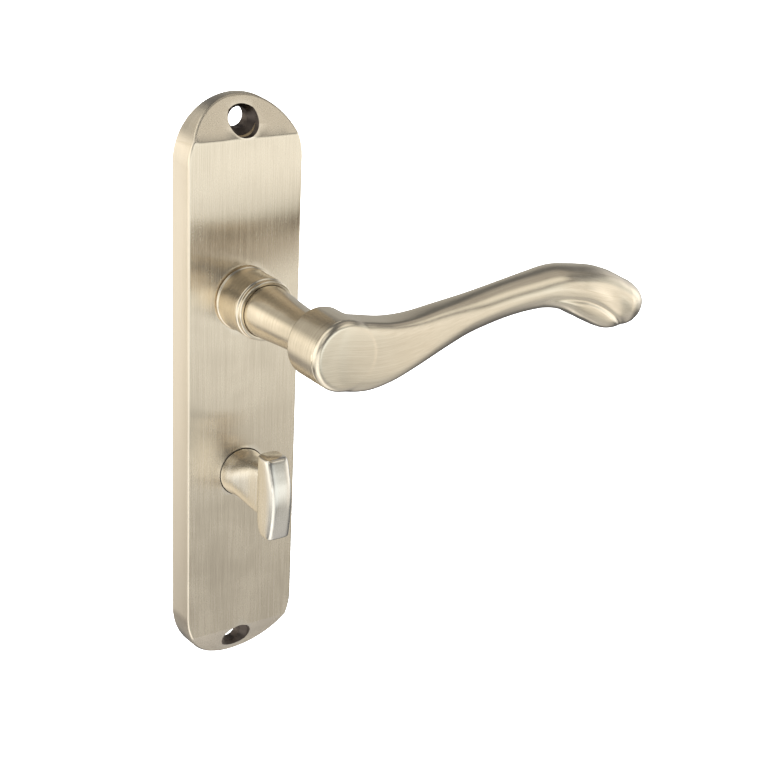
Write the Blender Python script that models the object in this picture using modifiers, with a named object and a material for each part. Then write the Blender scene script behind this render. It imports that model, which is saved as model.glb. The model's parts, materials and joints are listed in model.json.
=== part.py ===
"""Sprung door lever handle on a long backplate, with a bathroom thumb turn.

Run with: blender --background --python part.py

Every piece is drawn in the face frame of its pivot: X to the right, Y up the
door, Z out of the door towards the hand, with Z = 0 on the door face.  The
empty handle_frame stands that frame upright, so in the world +Z is up, the
handle faces -Y and the door lies at y = 0.  The origin is the point where the
lever's spindle axis meets the door face.
"""
import math

import bmesh
import bpy
from mathutils import Matrix, Vector

MM = 0.001
GAP = 0.3 * MM                      # air left between neighbouring pieces

# --- cover plate -----------------------------------------------------------
PLATE_LENGTH = 185.0 * MM
PLATE_WIDTH = 39.0 * MM             # at the door
PLATE_DRAFT = 0.5 * MM              # how much each side leans in by the front
PLATE_THICKNESS = 9.3 * MM
PLATE_CENTRE = -31.7 * MM           # middle of the plate, below the lever axis
FACET_START = 80.6 * MM             # crease to plate middle
END_THICKNESS = 3.0 * MM            # what the end facets slope down to
FRONT_WALL = 2.2 * MM
SIDE_WALL = 2.0 * MM
FRONT_EDGE_ROUND = 0.7 * MM
END_SEGMENTS = 44
RIB_THICKNESS = 1.5 * MM
RIB_BACK = 1.0 * MM                 # ribs stop this far short of the door
CROSS_RIBS = (27.0 * MM, -21.0 * MM, -38.0 * MM, -76.0 * MM, -94.0 * MM)

# --- screw holes -----------------------------------------------------------
SCREW_OFFSET = 85.3 * MM            # hole to plate middle
SCREW_BORE = 3.2 * MM               # radius
SINK_RADIUS = 5.0 * MM
SINK_SEAT = 3.4 * MM                # where the countersink meets the bore
SCREW_BOSS = 6.2 * MM
SCREW_BOSS_TOP = 5.3 * MM
SCREW_BOSS_INSET = 1.0 * MM         # how far its top stays under the sloping end facet
INTO_WALL = 0.5 * MM                # how far a rib or boss runs into the wall
PAST = 3.0 * MM                     # how far a drill runs past what it cuts

# --- lever pivot -----------------------------------------------------------
COLLAR_RADIUS = 9.6 * MM
COLLAR_TOP = 23.0 * MM
COLLAR_BORE = 8.45 * MM
COLLAR_HOLE = 9.6 * MM              # hole in the plate round the collar's spigot
COLLAR_BEAD = 10.0 * MM             # radius of the bead on the plate
COLLAR_BEAD_ROUND = 0.4 * MM
COLLAR_STEP = 1.9 * MM              # height of the narrower lip
COLLAR_STEP_ROUND = 0.7 * MM
COLLAR_LIP_HOLLOW = 0.75 * MM
SWAGE_RADIUS = 10.3 * MM            # edge rolled out behind the plate
SWAGE_THICKNESS = 0.6 * MM
JOURNAL_RADIUS = 7.0 * MM
JOURNAL_END = 0.3 * MM
SHOULDER = 22.2 * MM                # where the neck steps down to the journal
GROOVE_DEPTH = 0.8 * MM
GROOVE_LOW = 0.8 * MM
GROOVE_HIGH = 2.1 * MM
FLAT_HALF = 6.1 * MM                # half the width across the journal's flats
FLAT_TOP = 4.1 * MM
LEVER_SQUARE = 8.0 * MM
LEVER_CHAMFER = 1.0 * MM
SPINDLE_REACH = 24.0 * MM           # past the door face, to mid-door
LEVER_SPINDLE_FRONT = 30.0 * MM

# --- lever shape -----------------------------------------------------------
DRUM_RADIUS = 10.4 * MM
DRUM_BACK = 51.3 * MM
DRUM_FRONT = 66.7 * MM
DRUM_DOME = 0.5 * MM
DRUM_FRONT_ROUND = 1.8 * MM
DRUM_BACK_ROUND = 0.7 * MM
NECK = ((7.4, 51.3), (6.9, 50.6), (6.6, 47.0), (6.6, 42.0), (6.9, 37.0),
        (7.3, 32.0), (7.7, 28.0), (7.95, 25.0), (8.0, 22.2))    # radius, height
# Stations along the arm, all in millimetres: distance from the spindle,
# centre height, half height, half depth, distance from the door, squareness.
ARM = (
    (-4.0, 0.0, 9.0, 7.2, 59.2, 2.8),
    (0.0, -0.5, 10.8, 7.5, 59.2, 2.8),
    (8.0, -1.6, 10.3, 7.1, 59.5, 2.8),
    (16.0, -1.6, 9.0, 6.7, 59.8, 2.6),
    (24.0, -0.3, 7.7, 6.2, 60.0, 2.4),
    (34.0, 2.0, 6.7, 5.7, 60.0, 2.2),
    (46.0, 4.4, 5.8, 5.5, 59.8, 2.05),
    (58.0, 6.5, 5.6, 5.5, 59.6, 2.0),
    (68.0, 7.6, 5.8, 6.1, 59.3, 2.1),
    (77.0, 7.8, 6.5, 6.9, 59.1, 2.2),
    (85.0, 5.9, 7.3, 7.5, 59.0, 2.3),
    (93.0, 2.4, 9.1, 7.8, 59.0, 2.4),
    (101.0, -0.7, 7.6, 7.8, 59.0, 2.4),
)
ARM_TIP = 111.3 * MM
ARM_TIP_HEIGHT = -1.2 * MM
ARM_RINGS = 25                      # rings up to the last station
ARM_TIP_RINGS = 6
ARM_SIDES = 28
TIP_END_DEG = 86.0                  # how far round its curve the tip's last ring is
TIP_FLATNESS = 0.35                 # share of its depth that the very tip keeps

# --- what is threaded on the pivots, by height over the door ----------------
CLIP_LOW = 1.1 * MM
CLIP_HIGH = 1.8 * MM
LEVER_CLIP_WIDTH = 2.2 * MM
TURN_CLIP_WIDTH = 2.0 * MM
CLIP_EAR = 1.25 * MM                # radius
CLIP_EYE = 0.55 * MM                # radius
CLIP_HALF_GAP_DEG = 14.0
CLIP_EAR_DEG = 17.0                 # middle of an ear, from the middle of the gap
CLIP_EAR_INSET = 0.2 * MM
CLIP_STEPS = 22
WASHER_LOW = 2.1 * MM
WASHER_HIGH = 2.6 * MM
LEVER_WASHER = 10.4 * MM            # outer radius
CAM_LOW = 2.9 * MM
CAM_HIGH = 3.9 * MM
CAM_RADIUS = 11.2 * MM
CAM_ARM_START = 8.0 * MM
LUG_INNER = 13.8 * MM
LUG_OUTER = 15.4 * MM
LUG_HIGH = 6.2 * MM
LEVER_WAVE_LOW = 4.4 * MM
LEVER_WAVE_INNER = 7.4 * MM
LEVER_WAVE_OUTER = 10.2 * MM
LEVER_BUSH_LOW = 5.2 * MM
LEVER_BUSH_HIGH = 21.0 * MM
LEVER_FLANGE = 10.2 * MM
TURN_WAVE_LOW = 3.05 * MM
TURN_BUSH_LOW = 3.8 * MM
FLANGE_THICKNESS = 0.7 * MM
WAVE_THICKNESS = 0.3 * MM
WAVES = 3
WAVE_SWING = 0.16 * MM

# --- return spring and stops ----------------------------------------------
SPRING_RADIUS = 12.6 * MM
SPRING_WIRE = 0.45 * MM             # radius
SPRING_PITCH = 1.25 * MM
SPRING_START_DEG = 258.0
SPRING_SWEEP_DEG = 561.0
SPRING_LEG = 16.2 * MM              # radius that both legs reach
SPRING_LOW = 6.4 * MM               # height of the first turn
SPRING_STEP_DEG = 20.0
LEG_BEND = 0.8 * MM                 # how far past the coil a leg starts to straighten
LEG_BEND_DEG = 1.0
STOP_RADIUS = 14.6 * MM
STOP_PIN = 1.5 * MM                 # radius
STOP_PIN_LOW = 1.7 * MM
STOP_PIN_DEPTH = 1.1 * MM           # how far a pin goes into the front wall
STOP_PIN_EDGE = 0.25 * MM
STOP_SLACK_DEG = 0.3
PIN_SEAT_DEPTH = 1.4 * MM
LUG_DEG = 110.0                     # where the cam's lug stands at rest
LUG_WIDTH = 4.0 * MM
LEVER_TRAVEL_DEG = 40.0

# --- thumb turn ------------------------------------------------------------
TURN_DROP = 57.0 * MM               # lever axis to turn axis, standard centres
TURN_HOLE = 7.9 * MM
TURN_BOSS = 10.4 * MM
TURN_BOSS_BACK = 4.8 * MM
TURN_JOURNAL = 5.3 * MM
TURN_GROOVE_DEPTH = 0.7 * MM
TURN_SHOULDER = 8.7 * MM
TURN_BUSH_TOP = 7.6 * MM            # set back in its hole
TURN_FLANGE = 9.6 * MM
TURN_WASHER = 8.4 * MM
TURN_SQUARE = 5.0 * MM
TURN_CHAMFER = 0.5 * MM
TURN_SPINDLE_FRONT = 13.0 * MM
TURN_PIN = 1.0 * MM                 # radius
TURN_PIN_HEIGHT = 6.0 * MM
HEAD_SQUARENESS = 5.5
# Paddle sections going up, all in millimetres: height over the turn's axis,
# half width, back and front distances from the door.
HEAD = ((-13.6, 3.2, 28.6, 31.8), (-13.1, 3.7, 26.9, 32.6), (-11.9, 3.85, 25.5, 33.1),
        (-9.5, 3.9, 24.5, 33.6), (-6.0, 3.9, 24.3, 34.1), (-1.0, 3.9, 24.3, 34.4),
        (4.0, 3.9, 24.3, 33.9), (8.0, 3.9, 24.3, 32.8), (11.0, 3.85, 24.3, 31.8),
        (12.2, 3.6, 24.4, 31.3), (12.6, 3.1, 24.8, 30.9))
# Shank sections: distance out, half width across, half width up, squareness.
SHANK = ((8.7, 6.5, 6.5, 2.0), (12.5, 6.5, 6.7, 2.0), (16.5, 5.8, 7.2, 2.2),
         (21.0, 4.4, 7.8, 2.7), (25.5, 3.5, 8.2, 3.2))

TURN_INTO_SHANK = 1.5 * MM          # how far the journal runs into the shank
SHANK_RINGS = 9

TURN_STEPS = 36                     # sides of a turned piece
SMALL_STEPS = 20                    # sides of a pin
COLLECTION = "door_lever_handle"
CUTTERS = "cutters"


# --- scene helpers -----------------------------------------------------------
def clear_scene():
    for item in list(bpy.data.objects):
        bpy.data.objects.remove(item, do_unlink=True)
    for name in (COLLECTION, CUTTERS):
        found = bpy.data.collections.get(name)
        if found:
            bpy.data.collections.remove(found)
        bpy.context.scene.collection.children.link(bpy.data.collections.new(name))


def principled(name, colour, roughness, metallic=1.0):
    """Principled material with one base colour."""
    made = bpy.data.materials.new(name)
    made.use_nodes = True
    shader = made.node_tree.nodes["Principled BSDF"]
    shader.inputs["Base Color"].default_value = (*colour, 1.0)
    shader.inputs["Roughness"].default_value = roughness
    shader.inputs["Metallic"].default_value = metallic
    return made


def pivot(name, up, parent=None):
    """Empty that carries the pieces turning about one axis."""
    empty = bpy.data.objects.new(name, None)
    bpy.data.collections[COLLECTION].objects.link(empty)
    empty.location = (0.0, up, 0.0)
    empty.parent = parent
    return empty


def add_object(name, mesh, parent):
    made = bpy.data.objects.new(name, mesh)
    bpy.data.collections[COLLECTION].objects.link(made)
    made.parent = parent
    return made


def from_bmesh(name, bm, parent):
    bmesh.ops.recalc_face_normals(bm, faces=bm.faces[:])
    mesh = bpy.data.meshes.new(name)
    bm.to_mesh(mesh)
    bm.free()
    return add_object(name, mesh, parent)


def realised(source, name):
    """Turn an object with modifiers, or a curve, into a plain welded mesh."""
    bpy.context.view_layer.update()
    graph = bpy.context.evaluated_depsgraph_get()
    mesh = bpy.data.meshes.new_from_object(source.evaluated_get(graph))
    bm = bmesh.new()
    bm.from_mesh(mesh)
    bmesh.ops.remove_doubles(bm, verts=bm.verts[:], dist=1e-6)
    bmesh.ops.recalc_face_normals(bm, faces=bm.faces[:])
    bm.to_mesh(mesh)
    bm.free()
    parent = source.parent
    bpy.data.objects.remove(source, do_unlink=True)
    return add_object(name, mesh, parent)


def combine(target, tool, operation):
    """Boolean with a tool that is kept as a hidden cutter."""
    step = target.modifiers.new(operation.lower() + "_" + tool.name, "BOOLEAN")
    step.operation = operation
    step.object = tool
    step.solver = "EXACT"
    for home in list(tool.users_collection):
        home.objects.unlink(tool)
    bpy.data.collections[CUTTERS].objects.link(tool)
    tool.hide_render = True
    tool.display_type = "WIRE"


def cut(target, *tools):
    for tool in tools:
        combine(target, tool, "DIFFERENCE")


def join(target, *tools):
    for tool in tools:
        combine(target, tool, "UNION")


def finish(item, material, smooth_deg=35.0):
    mesh = item.data
    mesh.materials.clear()
    mesh.materials.append(material)
    mesh.shade_smooth()
    mesh.set_sharp_from_angle(angle=math.radians(smooth_deg))
    return item


# --- shape helpers -----------------------------------------------------------
def turned(name, profile, parent, steps=TURN_STEPS, closed=False):
    """Screw a (radius, height) profile round Z; it runs down the outer side."""
    mesh = bpy.data.meshes.new(name)
    points = [(radius, 0.0, height) for radius, height in profile]
    edges = [(i, i + 1) for i in range(len(points) - 1)]
    if closed:
        edges.append((len(points) - 1, 0))
    mesh.from_pydata(points, edges, [])
    made = add_object(name, mesh, parent)
    screw = made.modifiers.new("screw", "SCREW")
    screw.axis = "Z"
    screw.steps = steps
    screw.render_steps = steps
    screw.use_merge_vertices = True
    screw.merge_threshold = 1e-5
    return made


def arc(centre, radius, start_deg, end_deg, count):
    """Points on a quarter-round or cove of a turned profile."""
    points = []
    for i in range(count + 1):
        angle = math.radians(start_deg + (end_deg - start_deg) * i / count)
        points.append((centre[0] + radius * math.cos(angle), centre[1] + radius * math.sin(angle)))
    return points


def rod(name, radius, low, high, parent, x=0.0, y=0.0, steps=TURN_STEPS):
    """Plain cylinder along Z."""
    bm = bmesh.new()
    place = Matrix.Translation((x, y, (low + high) / 2))
    bmesh.ops.create_cone(bm, cap_ends=True, segments=steps, radius1=radius, radius2=radius,
                          depth=high - low, matrix=place)
    return from_bmesh(name, bm, parent)


def block(name, low, high, parent, chamfer=0.0):
    """Box between two corners, its long edges along Z chamfered if asked."""
    bm = bmesh.new()
    low, high = Vector(low), Vector(high)
    scale = Matrix.Diagonal((*(high - low), 1.0))
    bmesh.ops.create_cube(bm, size=1.0, matrix=Matrix.Translation((low + high) / 2) @ scale)
    if chamfer:
        upright = [e for e in bm.edges if (e.verts[0].co - e.verts[1].co).normalized().z ** 2 > 0.9]
        bmesh.ops.bevel(bm, geom=upright, offset=chamfer, segments=1, profile=0.5, affect="EDGES")
    return from_bmesh(name, bm, parent)


def square_bar(name, width, chamfer, low, high, parent):
    half = width / 2
    return block(name, (-half, -half, low), (half, half, high), parent, chamfer)


def super_point(angle, squareness):
    """Point of a unit superellipse: 2 is an ellipse, more is squarer."""
    power = 2.0 / squareness
    c, s = math.cos(angle), math.sin(angle)
    return math.copysign(abs(c) ** power, c), math.copysign(abs(s) ** power, s)


def loft(name, rings, parent):
    """Closed skin through rings of equal point count, with flat ends."""
    bm = bmesh.new()
    loops = [[bm.verts.new(point) for point in ring] for ring in rings]
    sides = len(loops[0])
    for near, far in zip(loops, loops[1:]):
        for i in range(sides):
            j = (i + 1) % sides
            bm.faces.new((near[i], near[j], far[j], far[i]))
    bm.faces.new(loops[0])
    bm.faces.new(loops[-1])
    return from_bmesh(name, bm, parent)


def smooth_value(stations, column, at):
    """Value of one column at a distance, on a smooth curve through stations."""
    xs = [row[0] for row in stations]
    ys = [row[column] for row in stations]
    slopes = []
    for i in range(len(xs)):
        a, b = max(i - 1, 0), min(i + 1, len(xs) - 1)
        slopes.append((ys[b] - ys[a]) / (xs[b] - xs[a]))
    at = min(max(at, xs[0]), xs[-1])
    i = max(k for k in range(len(xs) - 1) if xs[k] <= at)
    width = xs[i + 1] - xs[i]
    t = (at - xs[i]) / width
    first = (1 + 2 * t) * (1 - t) ** 2 * ys[i] + t * (1 - t) ** 2 * width * slopes[i]
    second = t * t * (3 - 2 * t) * ys[i + 1] - t * t * (1 - t) * width * slopes[i + 1]
    return first + second


# --- cover plate -------------------------------------------------------------
def facet_plane(side, inset):
    """Point and outward normal of an end facet, moved in by a wall."""
    run = PLATE_LENGTH / 2 - FACET_START
    drop = PLATE_THICKNESS - END_THICKNESS
    normal = Vector((0.0, side * drop, run)).normalized()
    crease = Vector((0.0, PLATE_CENTRE + side * FACET_START, PLATE_THICKNESS))
    return crease - normal * inset, normal


def slope_end(bm, side, inset):
    """Cut away what lies outside an end facet, and close the cut."""
    point, normal = facet_plane(side, inset)
    found = bmesh.ops.bisect_plane(bm, geom=bm.verts[:] + bm.edges[:] + bm.faces[:], dist=1e-7,
                                   plane_co=point, plane_no=normal, clear_outer=True)
    rim = [e for e in found["geom_cut"] if isinstance(e, bmesh.types.BMEdge)]
    bmesh.ops.contextual_create(bm, geom=rim)


def screw_boss(number, up, side, frame):
    """Pillar round a screw hole, from the door up into the sloping end wall."""
    bm = bmesh.new()
    bmesh.ops.create_cone(bm, cap_ends=True, segments=TURN_STEPS, radius1=SCREW_BOSS,
                          radius2=SCREW_BOSS, depth=SCREW_BOSS_TOP,
                          matrix=Matrix.Translation((0.0, up, SCREW_BOSS_TOP / 2)))
    slope_end(bm, side, SCREW_BOSS_INSET)
    return from_bmesh(f"screw_boss_{number}", bm, frame)


def plate_block(name, inset, low, high, parent):
    """Long block with round, drafted sides and sloping end facets."""
    radius = PLATE_WIDTH / 2 - inset
    lean = PLATE_DRAFT * (high - low) / PLATE_THICKNESS
    straight = (PLATE_LENGTH - PLATE_WIDTH) / 2
    turn = Matrix.Rotation(math.pi / END_SEGMENTS, 4, "Z")
    bm = bmesh.new()
    bmesh.ops.create_cone(bm, cap_ends=True, segments=END_SEGMENTS, radius1=radius,
                          radius2=radius - lean, depth=high - low,
                          matrix=Matrix.Translation((0, 0, (low + high) / 2)) @ turn)
    for vert in bm.verts:
        vert.co.y += math.copysign(straight, vert.co.y) + PLATE_CENTRE
    for side in (1, -1):
        slope_end(bm, side, inset)
    return bm


def round_front_edges(bm):
    """Small radius on every outer edge, but not on the door side or creases."""
    bmesh.ops.recalc_face_normals(bm, faces=bm.faces[:])
    edges = []
    for edge in bm.edges:
        in_front = min(vert.co.z for vert in edge.verts) > END_THICKNESS / 2
        if in_front and edge.calc_face_angle(0.0) > math.radians(45):
            edges.append(edge)
    bmesh.ops.bevel(bm, geom=edges, offset=FRONT_EDGE_ROUND, segments=2, profile=0.5,
                    affect="EDGES", clamp_overlap=True)


def cover_plate(frame, nickel):
    shell = plate_block("cover_plate", 0.0, 0.0, PLATE_THICKNESS, frame)
    round_front_edges(shell)
    plate = from_bmesh("cover_plate", shell, frame)

    wall_back = PLATE_THICKNESS - FRONT_WALL
    hollow = plate_block("plate_hollow", SIDE_WALL, -PAST, wall_back, frame)
    cut(plate, from_bmesh("plate_hollow", hollow, frame))

    reach = PLATE_WIDTH / 2 - SIDE_WALL + INTO_WALL
    for number, up in enumerate(CROSS_RIBS):
        low = (-reach, up - RIB_THICKNESS / 2, RIB_BACK)
        high = (reach, up + RIB_THICKNESS / 2, wall_back + INTO_WALL)
        join(plate, block(f"cross_rib_{number}", low, high, frame))
    screw_ups = [PLATE_CENTRE + side * SCREW_OFFSET for side in (1, -1)]
    for number, up in enumerate(screw_ups):
        join(plate, screw_boss(number, up, 1 if up > PLATE_CENTRE else -1, frame))
    join(plate, rod("turn_boss", TURN_BOSS, TURN_BOSS_BACK, wall_back + INTO_WALL, frame, y=-TURN_DROP))

    for number, up in enumerate(screw_ups):
        sink = [(0.0, PLATE_THICKNESS + PAST), (SINK_RADIUS, PLATE_THICKNESS + PAST),
                (SINK_RADIUS, SINK_SEAT + SINK_RADIUS - SCREW_BORE), (SCREW_BORE, SINK_SEAT),
                (SCREW_BORE, -PAST), (0.0, -PAST)]
        drill = realised(turned(f"sink_{number}", sink, frame, 32), f"screw_drill_{number}")
        drill.location.y = up
        cut(plate, drill)
    cut(plate, rod("collar_hole", COLLAR_HOLE, -PAST, PLATE_THICKNESS + PAST, frame))
    cut(plate, rod("turn_hole", TURN_HOLE, -PAST, PLATE_THICKNESS + PAST, frame, y=-TURN_DROP))
    for name, (x, y) in pin_places().items():
        seat_top = wall_back + PIN_SEAT_DEPTH
        cut(plate, rod(name + "_seat", STOP_PIN + GAP, 0.0, seat_top, frame, x, y, SMALL_STEPS))
    return finish(plate, nickel)


# --- pieces fixed to the plate ---------------------------------------------
def bearing_collar(frame, nickel):
    """Turned collar, swaged into the plate, that carries the lever's bush."""
    front = PLATE_THICKNESS + GAP
    spigot = COLLAR_HOLE - GAP
    swage_high = PLATE_THICKNESS - FRONT_WALL - GAP
    swage_low = swage_high - SWAGE_THICKNESS
    lip_edge = COLLAR_RADIUS - COLLAR_LIP_HOLLOW - 0.1 * MM
    lip_centre = (COLLAR_RADIUS - 0.1 * MM, COLLAR_TOP - 0.2 * MM)
    shoulder = COLLAR_TOP - COLLAR_STEP - COLLAR_STEP_ROUND
    bead_centre = (COLLAR_BEAD - 0.3 * MM, front + 0.5 * MM)
    profile = [(COLLAR_BORE, COLLAR_TOP), (lip_edge, COLLAR_TOP)]
    profile += arc(lip_centre, COLLAR_LIP_HOLLOW, 180, 250, 4)
    profile += arc((COLLAR_RADIUS - COLLAR_STEP_ROUND, shoulder), COLLAR_STEP_ROUND, 60, 0, 3)
    profile += [(COLLAR_RADIUS + 0.1 * MM, front + 1.2 * MM)]
    profile += arc(bead_centre, COLLAR_BEAD_ROUND, 90, -60, 4)
    profile += [(COLLAR_BEAD - 0.2 * MM, front), (spigot, front), (spigot, swage_high),
                (SWAGE_RADIUS, swage_high), (SWAGE_RADIUS, swage_low), (COLLAR_BORE, swage_low)]
    return finish(turned("bearing_collar", profile, frame, closed=True), nickel)


def flanged_bush(name, bore, outside, flange, low, high, parent, nylon):
    """Nylon bush: a tube with a flange at its door end."""
    flange_top = low + FLANGE_THICKNESS
    profile = [(bore, high), (outside, high), (outside, flange_top), (flange, flange_top),
               (flange, low), (bore, low)]
    return finish(turned(name, profile, parent, closed=True), nylon)


def flat_washer(name, inner, outer, low, high, parent, material):
    profile = [(inner, high), (outer, high), (outer, low), (inner, low)]
    return finish(turned(name, profile, parent, closed=True), material)


def wave_washer(name, inner, outer, low, parent, material):
    """Washer that rises and falls three times round, to take up end play."""
    ring = realised(flat_washer(name, inner, outer, low, low + WAVE_THICKNESS, parent, material), name)
    for vert in ring.data.vertices:
        vert.co.z += WAVE_SWING * math.sin(WAVES * math.atan2(vert.co.y, vert.co.x))
    return finish(ring, material)


def polar(radius, degrees):
    angle = math.radians(degrees)
    return radius * math.cos(angle), radius * math.sin(angle)


def pin_places():
    """The two stop pins stand where the lug meets them, the anchor by a leg."""
    touch = math.degrees((LUG_WIDTH / 2 + STOP_PIN + GAP) / STOP_RADIUS) + STOP_SLACK_DEG
    beside_leg = math.degrees((STOP_PIN + SPRING_WIRE + GAP) / STOP_RADIUS)
    return {
        "rest_stop_pin": polar(STOP_RADIUS, LUG_DEG + touch),
        "down_stop_pin": polar(STOP_RADIUS, LUG_DEG - LEVER_TRAVEL_DEG - touch),
        "spring_anchor_pin": polar(STOP_RADIUS, SPRING_START_DEG - beside_leg),
    }


def stop_pins(frame, steel):
    high = PLATE_THICKNESS - FRONT_WALL + STOP_PIN_DEPTH
    for name, (x, y) in pin_places().items():
        pin = rod(name, STOP_PIN, STOP_PIN_LOW, high, frame, x, y, SMALL_STEPS)
        edge = pin.modifiers.new("edge", "BEVEL")
        edge.width = STOP_PIN_EDGE
        edge.segments = 1
        edge.limit_method = "ANGLE"
        finish(pin, steel)


def return_spring(frame, steel):
    """Torsion spring: one leg by the anchor pin, one against the cam's lug."""
    steps = int(SPRING_SWEEP_DEG / SPRING_STEP_DEG)
    route = []
    for i in range(steps + 1):
        swept = SPRING_SWEEP_DEG * i / steps
        x, y = polar(SPRING_RADIUS, SPRING_START_DEG + swept)
        route.append((x, y, SPRING_LOW - SPRING_PITCH * swept / 360))
    end_deg = SPRING_START_DEG + SPRING_SWEEP_DEG
    first = polar(SPRING_LEG, SPRING_START_DEG)
    last = polar(SPRING_LEG, end_deg)
    first_bend = polar(SPRING_RADIUS + LEG_BEND, SPRING_START_DEG - LEG_BEND_DEG)
    last_bend = polar(SPRING_RADIUS + LEG_BEND, end_deg + LEG_BEND_DEG)
    route = [(*first, route[0][2]), (*first_bend, route[0][2])] + route
    route += [(*last_bend, route[-1][2]), (*last, route[-1][2])]
    wire = bpy.data.curves.new("return_spring", "CURVE")
    wire.dimensions = "3D"
    wire.bevel_depth = SPRING_WIRE
    wire.bevel_resolution = 2
    wire.use_fill_caps = True
    spline = wire.splines.new("POLY")
    spline.points.add(len(route) - 1)
    for point, place in zip(spline.points, route):
        point.co = (*place, 1.0)
    return finish(realised(add_object("spring_wire", wire, frame), "return_spring"), steel)


# --- pieces that turn with the lever -----------------------------------------
def lever_profile():
    """Drum, neck and journal of the lever, from the front face back."""
    face = DRUM_RADIUS - DRUM_FRONT_ROUND
    dome = [(face * k / 4, DRUM_FRONT + DRUM_DOME * (1 - (k / 4) ** 2)) for k in range(4)]
    front = arc((face, DRUM_FRONT - DRUM_FRONT_ROUND), DRUM_FRONT_ROUND, 90, 0, 4)
    back_centre = (DRUM_RADIUS - DRUM_BACK_ROUND, DRUM_BACK + DRUM_BACK_ROUND)
    back = arc(back_centre, DRUM_BACK_ROUND, 0, -90, 2)
    neck = [(radius * MM, height * MM) for radius, height in NECK]
    groove = JOURNAL_RADIUS - GROOVE_DEPTH
    journal = [(JOURNAL_RADIUS, SHOULDER), (JOURNAL_RADIUS, GROOVE_HIGH), (groove, GROOVE_HIGH),
               (groove, GROOVE_LOW), (JOURNAL_RADIUS, GROOVE_LOW), (JOURNAL_RADIUS, JOURNAL_END),
               (0.0, JOURNAL_END)]
    return dome + front + back + neck + journal


def arm_ring(x, up, half_up, half_out, out, squareness):
    ring = []
    for i in range(ARM_SIDES):
        across, along = super_point(2 * math.pi * i / ARM_SIDES, squareness)
        ring.append((x, up + half_up * along, out + half_out * across))
    return ring


def lever_arm(pivot_empty):
    """Lofted scroll arm: deep by the drum, round in the middle, broad at the end."""
    rings = []
    start, last = ARM[0][0], ARM[-1][0]
    for i in range(ARM_RINGS):
        x = start + (last - start) * i / (ARM_RINGS - 1)
        up, half_up, half_out, out, squareness = (smooth_value(ARM, c, x) for c in range(1, 6))
        rings.append(arm_ring(x * MM, up * MM, half_up * MM, half_out * MM, out * MM, squareness))
    _, up, half_up, half_out, out, squareness = ARM[-1]
    length = ARM_TIP - last * MM
    for i in range(1, ARM_TIP_RINGS + 1):
        angle = math.radians(TIP_END_DEG) * i / ARM_TIP_RINGS
        shrink = math.cos(angle)
        drop = (ARM_TIP_HEIGHT - up * MM) * math.sin(angle) ** 2
        depth = half_out * MM * (TIP_FLATNESS + (1 - TIP_FLATNESS) * shrink)
        rings.append(arm_ring(last * MM + length * math.sin(angle), up * MM + drop,
                              half_up * MM * shrink, depth, out * MM, squareness))
    return loft("lever_arm", rings, pivot_empty)


def lever_handle(pivot_empty, nickel):
    lever = realised(turned("lever_turning", lever_profile(), pivot_empty), "lever_handle")
    join(lever, lever_arm(pivot_empty))
    socket_width = LEVER_SQUARE + 2 * GAP
    cut(lever, square_bar("lever_socket", socket_width, LEVER_CHAMFER, -PAST,
                          LEVER_SPINDLE_FRONT + 2 * GAP, pivot_empty))
    side = JOURNAL_RADIUS + PAST
    for name, near, far in (("flat_right", FLAT_HALF, side), ("flat_left", -side, -FLAT_HALF)):
        cut(lever, block(name, (near, -side, -PAST), (far, side, FLAT_TOP), pivot_empty))
    return finish(lever, nickel)


def lever_cam(pivot_empty, steel):
    """Drive plate: keyed on the journal's flats, its lug loads the spring."""
    cam = rod("lever_cam", CAM_RADIUS, CAM_LOW, CAM_HIGH, pivot_empty)
    half = LUG_WIDTH / 2
    arm = block("cam_arm", (CAM_ARM_START, -half, CAM_LOW), (LUG_OUTER, half, CAM_HIGH), pivot_empty)
    lug = block("cam_lug", (LUG_INNER, -half, CAM_LOW), (LUG_OUTER, half, LUG_HIGH), pivot_empty)
    join(arm, lug)
    for piece in (arm, lug):
        piece.rotation_euler.z = math.radians(LUG_DEG)
    join(cam, arm)
    hole = rod("cam_hole", JOURNAL_RADIUS + GAP, 0.0, LUG_HIGH, pivot_empty)
    limit = FLAT_HALF + GAP
    for vert in hole.data.vertices:
        vert.co.x = min(max(vert.co.x, -limit), limit)
    cut(cam, hole)
    return finish(cam, steel)


def circlip(name, inner, width, parent, steel):
    """External circlip: an open ring with two eyed ears."""
    outer = inner + width
    gap_deg = 270.0
    first, last = gap_deg + CLIP_HALF_GAP_DEG, gap_deg + 360 - CLIP_HALF_GAP_DEG
    step = (last - first) / CLIP_STEPS
    outline = [polar(outer, first + step * i) for i in range(CLIP_STEPS + 1)]
    outline += [polar(inner, last - step * i) for i in range(CLIP_STEPS + 1)]
    bm = bmesh.new()
    face = bm.faces.new([bm.verts.new((x, y, CLIP_LOW)) for x, y in outline])
    raised = bmesh.ops.extrude_face_region(bm, geom=[face])["geom"]
    top = [v for v in raised if isinstance(v, bmesh.types.BMVert)]
    bmesh.ops.translate(bm, verts=top, vec=(0.0, 0.0, CLIP_HIGH - CLIP_LOW))
    clip = from_bmesh(name, bm, parent)
    for number, side in enumerate((1, -1)):
        x, y = polar(outer - CLIP_EAR_INSET, gap_deg + side * CLIP_EAR_DEG)
        ear = rod(f"{name}_ear_{number}", CLIP_EAR, CLIP_LOW, CLIP_HIGH, parent, x, y, SMALL_STEPS)
        join(clip, ear)
        eye = rod(f"{name}_eye_{number}", CLIP_EYE, 0.0, 2 * CLIP_HIGH, parent, x, y, SMALL_STEPS)
        cut(clip, eye)
    return finish(clip, steel)


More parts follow.
